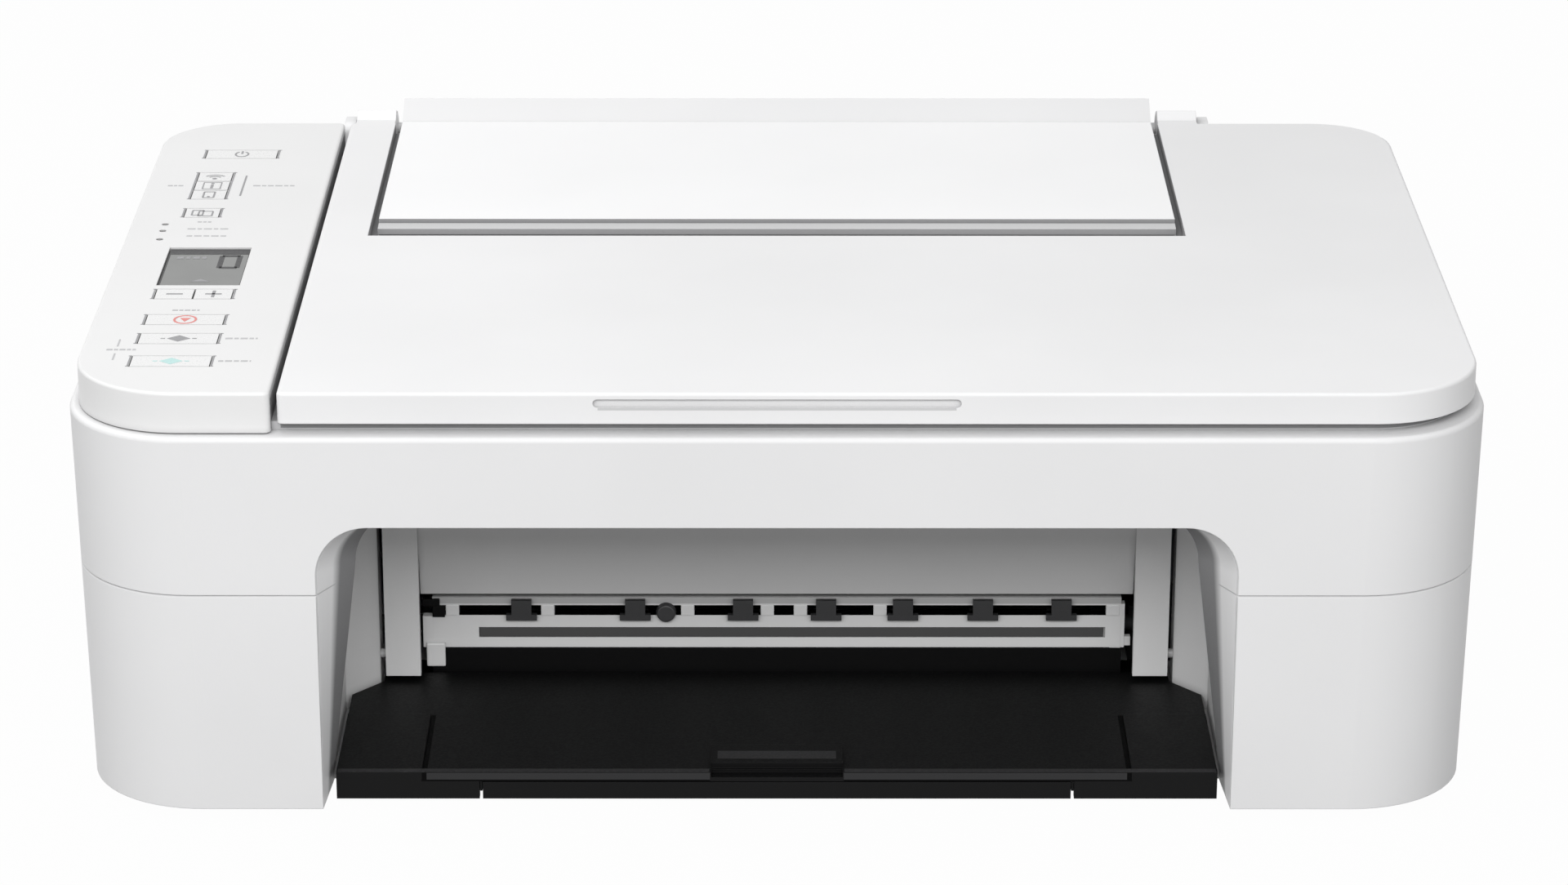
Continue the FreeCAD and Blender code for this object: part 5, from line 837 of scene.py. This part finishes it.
# Name, span across, depths, heights, rounding, look and slot.
OUTLET_BLOCKS = (
    ("bar_end_left", (-115.2, -OUTLET_HALF), (0.0, 3.0), (BAR_LOW, 30.6), 0.02, *WHITE_TRIM),
    ("bar_end_right", (OUTLET_HALF, 113.2), (0.0, 3.0), (BAR_LOW, 35.0), 0.02, *WHITE_TRIM),
    ("foot_right", (113.0, 115.3), (0.2, 2.5), (20.2, 23.4), 0.2, *WHITE_TRIM),
    ("tab", (-114.2, -108.0), (-1.2, 1.5), (13.3, 21.5), 0.5, *WHITE_TRIM),
    ("end_upper", (-115.2, -109.6), (-0.9, 1.0), (34.4, 36.9), 0.2, *DARK_TRIM),
    ("end_lower", (-112.0, -107.9), (-0.7, 1.0), (30.5, 34.5), 0.2, *DARK_TRIM),
    ("strip", (-96.8, 106.4), (0.2, 1.4), (23.3, 26.7), 0.2, "strip", "dark_plastic"),
    ("apron", APRON_SPAN, (-0.35, -0.05), (8.3, BAR_LOW - 0.1), 0.05, "tray", "tray_black"),
)


def behind_outlet_front(depths):
    """Two depths behind the eject frame's front, as places in the model."""
    return tuple(OUTLET_FRONT + depth for depth in depths)


def outlet_blocks():
    """White posts and end pieces, dark parts, the sunk strip's inlay and the apron below."""
    for index, place in enumerate(POST_PLACES, start=1):
        across = (place - POST_HALF, place + POST_HALF)
        along = behind_outlet_front(POST_DEPTHS)
        solid_box(f"outlet_post_{index}", across, along, POST_HEIGHTS, POST_EDGE, *WHITE_TRIM)
    for word, across, depths, heights, edge, look, slot in OUTLET_BLOCKS:
        along = behind_outlet_front(depths)
        solid_box(f"outlet_{word}", across, along, heights, edge, look, slot)


def outlet_skins():
    """Painted shade on the floor of the gap over the bar, and the greyer front of the bridge above it.
    """
    floor = lying(OUTLET_SPAN, behind_outlet_front(GAP_DEPTHS), BAR_HIGH)
    slab("outlet_gap_floor", floor, UPWARDS, "tray_line", "printer")
    face = facing(OUTLET_SPAN, OUTLET_FRONT, BRIDGE_HEIGHTS)
    slab("outlet_top_strip", face, FORWARDS, "outlet_top", "printer")


def outlet_knob():
    """Round dark knob in the outlet."""
    shape = bmesh.new()
    place = Matrix.Translation(Vector(KNOB_PLACE) * MM) @ Matrix.Rotation(QUARTER_TURN, 4, "X")
    bmesh.ops.create_cone(
        shape, cap_ends=True, segments=KNOB_SIDES, matrix=place, depth=KNOB_LONG * MM,
        radius1=KNOB_RADII[0] * MM, radius2=KNOB_RADII[1] * MM,
    )
    mesh = finished_mesh("outlet_knob", shape)
    round_off(add_piece("outlet_knob", mesh, "knob", "printer"), KNOB_EDGE)


# Lid backing

PAD_CORNER = 6.0
PAD_EDGE = 0.8
PAD_EDGE_STEPS = 3


def lid_backing():
    """White film over thin foam under the lid: a sheet with rounded edges and corners."""
    low, high = box("lid_pad")
    across = (low.x + PAD_CORNER, high.x - PAD_CORNER)
    along = (low.y + PAD_CORNER, high.y - PAD_CORNER)
    outline = []
    for middle, start in zip(rectangle(across, along), (180, 270, 360, 450)):
        outline += arc_points(middle, PAD_CORNER, start, start + 90)
    mesh = prisms("lid_backing", [outline], low.z, high.z)
    item = add_piece("lid_backing", mesh, "pad", "lid")
    round_off(item, PAD_EDGE, PAD_EDGE_STEPS)
    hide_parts("lid_pad")


# Paper support: lip behind its front and below the panel's top, hump in front of its back

SUPPORT_PIN_REACH = 21.05
PLATE_UNDER = 3.5
LIP_LOW = 1.6
LIP_HIGH = 1.2
LIP_LONG = 5.0
LIP_STEP = 6.0
HUMP_START = 21.5
HUMP_CREST = 11.15
HUMP_UNDER = 0.08


def support_strip(name, start, end, push, look):
    """Skin over the support's width between two points of its profile, each a depth and a height."""
    half = box("paper_support")[1].x - SUPPORT_PIN_REACH
    corners = [(-half, *start), (half, *start), (half, *end), (-half, *end)]
    slab(name, corners, push, look, "support")


def support_lip():
    """Painted shade on the support: grey on the finger lip along its front, darker on the lip's front
    and on the step behind it, and grey on the hump.
    """
    low, high = box("paper_support")
    front = low.y
    under = PANEL_TOP - PLATE_UNDER
    lip_front = PANEL_TOP - LIP_LOW
    lip_back = (front + LIP_LONG, PANEL_TOP - LIP_HIGH)
    step = front + LIP_STEP
    hump_start = (high.y - HUMP_START, PANEL_TOP)
    hump_crest = (high.y - HUMP_CREST, high.z - HUMP_UNDER)
    sloping = (0.0, -SKIN / 2, SKIN)
    support_strip("support_lip_front", (front, under), (front, lip_front), FORWARDS, "lip_front")
    support_strip("support_lip_band", (front, lip_front), lip_back, UPWARDS, "lip")
    support_strip("support_lip_step", (step, lip_front), (step, PANEL_TOP), FORWARDS, "lip_step")
    support_strip("support_hump", hump_start, hump_crest, sloping, "hump")


# Sloping surround of the bay: a share of its depth is 0 at the case's front and 1 at its rear edge

OPENING_HALF = 140.5
RETURN_LONG = 19.0
RETURN_FOOT = 0.8
RETURN_HEAD = 10.9
RETURN_DROP = 2.0
RETURN_SHOULDER = 81.55
ARCH_CORNER = 16.0
EDGE_SHARES = (0.04, 0.2, 0.36, 0.52, 0.68, 0.84, 0.985)
EDGE_LIFT = 0.08
EDGE_STEPS = 36
EDGE_LOW = 0.06
EDGE_HIGH = 1.62
JOINT_HEIGHT = box("upper_case")[0].z
JOINT_HALF = 0.2
JOINT_SHARES = EDGE_SHARES[:4]
JOINT_LIFT = 0.13


def shoulder_height(share):
    """Height at which the surround's upright side turns into its rounded corner."""
    return RETURN_SHOULDER - share * RETURN_DROP


def return_point(side, share, along):
    """Point on the surround: 0 to 1 along its upright side, then 1 to 2 round its corner."""
    shoulder = shoulder_height(share)
    foot = OPENING_HALF - share * RETURN_FOOT
    head = OPENING_HALF - share * RETURN_HEAD
    if along <= 1.0:
        across = foot + (head - foot) * along
        height = shoulder * along
    else:
        angle = (along - 1.0) * QUARTER_TURN
        across = head - ARCH_CORNER + ARCH_CORNER * math.cos(angle)
        height = shoulder + ARCH_CORNER * math.sin(angle)
    return Vector((side * across, CASE_FRONT + share * RETURN_LONG, height))


def bay_edge(side, word):
    """Skin on one side of the surround, with painted light at its front and painted shade towards the
    back.
    """
    rows = []
    for step in range(EDGE_STEPS + 1):
        along = EDGE_LOW + (EDGE_HIGH - EDGE_LOW) * step / EDGE_STEPS
        angle = max(0.0, along - 1.0) * QUARTER_TURN
        lift = Vector((-side * math.cos(angle), 0.0, -math.sin(angle))) * EDGE_LIFT
        rows.append([return_point(side, share, along) + lift for share in EDGE_SHARES])
    skin(f"bay_edge_{word}", rows, "bay_edge")


def bay_joint(side, word):
    """The case's joint where it turns in on one side of the surround."""
    lift = Vector((-side * JOINT_LIFT, 0.0, 0.0))
    rows = []
    for height in (JOINT_HEIGHT - JOINT_HALF, JOINT_HEIGHT + JOINT_HALF):
        ways = [(share, height / shoulder_height(share)) for share in JOINT_SHARES]
        rows.append([return_point(side, share, along) + lift for share, along in ways])
    skin(f"bay_joint_{word}", rows, "lip")


def bay_surround():
    """Skins on the surround at both sides of the bay."""
    for side, word in SIDES:
        bay_edge(side, word)
        bay_joint(side, word)


# Output tray, with depths counted from its front

TRAY_LOW, TRAY_HIGH = box("output_tray")
TRAY_FRONT = TRAY_LOW.y
TRAY_WING = 110.5
TRAY_TOP = 12.0
TRAY_RIM = 12.8
TRAY_FACE = 3.0
FOLD_BACK = 46.0
FOLD_WIDE = 1.6
FOLD_CLEAR = 0.05
TAB_HALF = 20.5
TAB_BAND = (8.0, 14.0)
TAB_BAND_HALF = 18.5
LIP_LINE_HEIGHTS = (9.85, 10.4)
LIP_FACE_HEIGHTS = (10.4, 12.7)
LIP_FACE_FROM_TAB = 0.3
LIP_TOP_FROM_TAB = 0.5
LIP_TOP_FROM_END = 0.4
LIP_TOP_INSET = 0.2
NOTCH_INNER = box("tray_extension")[1].x + 0.1
NOTCH_WIDE = 0.85
NOTCH_DEPTHS = (0.3, 2.5)
NOTCH_HEIGHTS = (6.4, 9.6)
NOTCH_EDGE = 0.1


def behind_tray_front(depths):
    """Two depths behind the tray's front, as places in the model."""
    return tuple(TRAY_FRONT + depth for depth in depths)


def tray_skin(name, corners, push, look):
    """Skin on the output tray."""
    slab(name, corners, push, look, "tray")


def tray_folds(side, word):
    """Dark folds beside one of the tray's raised wings, on its top and on its front."""
    across = (side * (TRAY_WING - FOLD_WIDE), side * (TRAY_WING - FOLD_CLEAR))
    top = lying(across, behind_tray_front((TRAY_FACE, FOLD_BACK)), TRAY_TOP)
    tray_skin(f"tray_fold_{word}", top, UPWARDS, "tray_line")
    over_the_lip = (0.0, -2 * SKIN, 0.0)
    front = facing(across, TRAY_FRONT, LIP_FACE_HEIGHTS)
    tray_skin(f"tray_fold_front_{word}", front, over_the_lip, "tray_line")


def tray_lip(side, word):
    """Painted highlight on the face and top of one half of the front lip, with the dark line under it.
    """
    across = (side * (TAB_HALF + LIP_FACE_FROM_TAB), side * TRAY_WING)
    face = facing(across, TRAY_FRONT, LIP_FACE_HEIGHTS)
    tray_skin(f"tray_lip_face_{word}", face, FORWARDS, "tray_lip")
    line = facing(across, TRAY_FRONT, LIP_LINE_HEIGHTS)
    tray_skin(f"tray_lip_line_{word}", line, FORWARDS, "tray_line")
    across = (side * (TAB_HALF + LIP_TOP_FROM_TAB), side * (TRAY_HIGH.x - LIP_TOP_FROM_END))
    along = behind_tray_front((LIP_TOP_INSET, TRAY_FACE - LIP_TOP_INSET))
    tray_skin(f"tray_lip_{word}", lying(across, along, TRAY_RIM), UPWARDS, "tray_lip")


def tray_notch(side, word):
    """Upright piece beside the extension, in one of the two notches of the front."""
    across = sorted((side * NOTCH_INNER, side * (NOTCH_INNER + NOTCH_WIDE)))
    along = behind_tray_front(NOTCH_DEPTHS)
    solid_box(
        f"tray_notch_{word}", across, along, NOTCH_HEIGHTS, NOTCH_EDGE, "tray", "tray_black", "tray"
    )


def tray_details():
    """Painted highlight on a band of the grip tab, and the folds, lip and notch piece of both halves."""
    band = lying((-TAB_BAND_HALF, TAB_BAND_HALF), behind_tray_front(TAB_BAND), TRAY_HIGH.z)
    tray_skin("tray_tab_band", band, UPWARDS, "tray_lip")
    for side, word in SIDES:
        tray_folds(side, word)
        tray_lip(side, word)
        tray_notch(side, word)


# Painted shade in narrow gaps, and along the lower edge of the lid's grip

RECESS_HALF = 134.9
RECESS_SPAN = (-0.9, 127.6)
RECESS_HEIGHTS = (PANEL_TOP - 4.0, PANEL_TOP - 0.5)
SUPPORT_GAP = 2.3
GRIP_SPAN = (-54.0, 54.0)
GRIP_HEIGHTS = (134.1, 134.85)
PANEL_SIDE_SPAN = (PANEL_LOW.y + 2.5, PANEL_HIGH.y - 2.5)
PANEL_SIDE_HEIGHTS = (PANEL_LOW.z + 0.3, PANEL_TOP - 2.7)
RIM_LEFT = -150.0
RIM_CORNER = 29.5
RIM_SIDE_BACK = 95.0
RIM_HEIGHTS = (127.0, 128.7)


def recess_gaps():
    """Painted shade on the floor and wall of the gap at both sides of the paper support."""
    for side, word in SIDES:
        wall = side * RECESS_HALF
        across = (wall, side * (RECESS_HALF - SUPPORT_GAP))
        floor = lying(across, RECESS_SPAN, RECESS_HEIGHTS[0])
        slab(f"recess_gap_floor_{word}", floor, UPWARDS, "gap", "lid")
        upright = sideways(wall, RECESS_SPAN, RECESS_HEIGHTS)
        inwards = (-side * SKIN, 0.0, 0.0)
        slab(f"recess_gap_wall_{word}", upright, inwards, "gap", "lid")


def grip_edge():
    """Painted shade along the lower edge of the grip groove in the lid's front."""
    face = facing(GRIP_SPAN, box("document_lid")[0].y, GRIP_HEIGHTS)
    slab("lid_grip_edge", face, FORWARDS, "lip", "lid")


def panel_gap():
    """Painted shade on the panel's side towards the lid."""
    upright = sideways(PANEL_HIGH.x, PANEL_SIDE_SPAN, PANEL_SIDE_HEIGHTS)
    slab("panel_gap_wall", upright, (SKIN, 0.0, 0.0), "gap", "printer")


def rim_line(lift):
    """Line round the front right corner of the scanner frame, a little outside it."""
    low, high = box("scanner_frame")
    middle = (high.x - RIM_CORNER, low.y + RIM_CORNER)
    corner = arc_points(middle, RIM_CORNER + lift, 270, 360)
    return [(RIM_LEFT, low.y - lift)] + corner + [(high.x + lift, RIM_SIDE_BACK)]


def lid_gap():
    """Painted shadow line under the lid, along the scanner frame's front and right side."""
    outline = rim_line(0.0) + rim_line(SKIN)[::-1]
    mesh = prisms("lid_gap_line", [outline], *RIM_HEIGHTS)
    add_piece("lid_gap_line", mesh, "gap", "printer")


panel_brackets()
panel_labels()
key_signs()
display_content()
outlet_blocks()
outlet_skins()
outlet_knob()
lid_backing()
support_lip()
bay_surround()
tray_details()
recess_gaps()
grip_edge()
panel_gap()
lid_gap()


# Camera, light and floor

# Camera: angles in degrees.
FOCAL = 112.32
SENSOR = 36.0
CAMERA_PLACE = (-0.8, -1537.4, 639.4)
CAMERA_PITCH = 21.436
CAMERA_YAW = 0.121
CAMERA_ROLL = 0.062

# Distance of the optical axis from the image's middle, and the image's width, in pixels.
OPTICAL_AXIS_DOWN = 104.0
IMAGE_WIDE = 1920.0

# Lamps, world and floor: places and sizes in metres, power in watts.
KEY_PLACE = (-0.66, 0.1, 1.1)
KEY_AIM = (0.0, 0.0, 0.08)
KEY_SIZE = (1.1, 1.0)
KEY_POWER = 6.1
FILL_PLACE = (-0.08, -1.6, 1.1)
FILL_AIM = (0.0, -0.1, 0.05)
FILL_SIZE = (1.7, 0.7)
FILL_POWER = 23.4
WORLD_LIGHT = 0.38
FLOOR_REACH = 6.0
FLOOR_WHITE = 0.4
FLOOR_ROUGHNESS = 0.9
FLOOR_GLOW = 0.98


def camera():
    """The camera at the photograph's place and angle."""
    data = bpy.data.cameras.new("photo_camera")
    data.lens = FOCAL
    data.sensor_width = SENSOR
    data.shift_y = OPTICAL_AXIS_DOWN / IMAGE_WIDE
    item = bpy.data.objects.new("photo_camera", data)
    bpy.context.scene.collection.objects.link(item)
    turn = Matrix.Rotation(math.radians(-CAMERA_YAW), 4, "Z")
    tilt = Matrix.Rotation(math.radians(90.0 - CAMERA_PITCH), 4, "X")
    roll = Matrix.Rotation(math.radians(CAMERA_ROLL), 4, "Z")
    item.matrix_world = Matrix.Translation(Vector(CAMERA_PLACE) * MM) @ turn @ tilt @ roll
    bpy.context.scene.camera = item


def area_light(name, place, aim, size, power):
    """Soft box aimed at a point."""
    data = bpy.data.lights.new(name, "AREA")
    data.shape = "RECTANGLE"
    data.size = size[0]
    data.size_y = size[1]
    data.energy = power
    item = bpy.data.objects.new(name, data)
    item.location = place
    item.rotation_mode = "QUATERNION"
    item.rotation_quaternion = (Vector(aim) - Vector(place)).to_track_quat("-Z", "Y")
    bpy.context.scene.collection.objects.link(item)


def seen_directly(tree):
    """One for rays from the camera, mirrors and glass, nought for light on surfaces."""
    path = tree.nodes.new("ShaderNodeLightPath")
    seen = path.outputs["Is Camera Ray"]
    for kind in ("Is Glossy Ray", "Is Transmission Ray"):
        either = tree.nodes.new("ShaderNodeMath")
        either.operation = "MAXIMUM"
        tree.links.new(seen, either.inputs[0])
        tree.links.new(path.outputs[kind], either.inputs[1])
        seen = either.outputs[0]
    return seen


def studio_world():
    """White surroundings that light the object softly."""
    world = bpy.data.worlds.new("studio")
    world.use_nodes = True
    tree = world.node_tree
    back = tree.nodes["Background"]
    strength = tree.nodes.new("ShaderNodeMapRange")
    strength.inputs["To Min"].default_value = WORLD_LIGHT
    strength.inputs["To Max"].default_value = 1.0
    tree.links.new(seen_directly(tree), strength.inputs["Value"])
    tree.links.new(strength.outputs["Result"], back.inputs["Strength"])
    back.inputs["Color"].default_value = (1.0, 1.0, 1.0, 1.0)
    bpy.context.scene.world = world


def floor_paper():
    """White paper that glows where it is seen directly and takes a soft shadow."""
    material = bpy.data.materials.new("floor_paper")
    material.use_nodes = True
    tree = material.node_tree
    shader = tree.nodes["Principled BSDF"]
    shader.inputs["Base Color"].default_value = (FLOOR_WHITE, FLOOR_WHITE, FLOOR_WHITE, 1.0)
    shader.inputs["Roughness"].default_value = FLOOR_ROUGHNESS
    shader.inputs["Specular IOR Level"].default_value = 0.0
    glow = tree.nodes.new("ShaderNodeEmission")
    mixed = tree.nodes.new("ShaderNodeMixShader")
    share = tree.nodes.new("ShaderNodeMath")
    share.operation = "MULTIPLY"
    share.inputs[1].default_value = FLOOR_GLOW
    tree.links.new(seen_directly(tree), share.inputs[0])
    tree.links.new(share.outputs[0], mixed.inputs["Fac"])
    tree.links.new(shader.outputs["BSDF"], mixed.inputs[1])
    tree.links.new(glow.outputs["Emission"], mixed.inputs[2])
    tree.links.new(mixed.outputs["Shader"], tree.nodes["Material Output"].inputs["Surface"])
    return material


def studio_floor():
    """Plain white floor."""
    shape = bmesh.new()
    bmesh.ops.create_grid(shape, x_segments=1, y_segments=1, size=FLOOR_REACH)
    mesh = bpy.data.meshes.new("floor")
    shape.to_mesh(mesh)
    shape.free()
    mesh.materials.append(floor_paper())
    item = bpy.data.objects.new("floor", mesh)
    bpy.context.scene.collection.objects.link(item)


camera()
studio_world()
studio_floor()
area_light("key_light", KEY_PLACE, KEY_AIM, KEY_SIZE, KEY_POWER)
area_light("fill_light", FILL_PLACE, FILL_AIM, FILL_SIZE, FILL_POWER)
bpy.context.scene.view_settings.view_transform = "Standard"
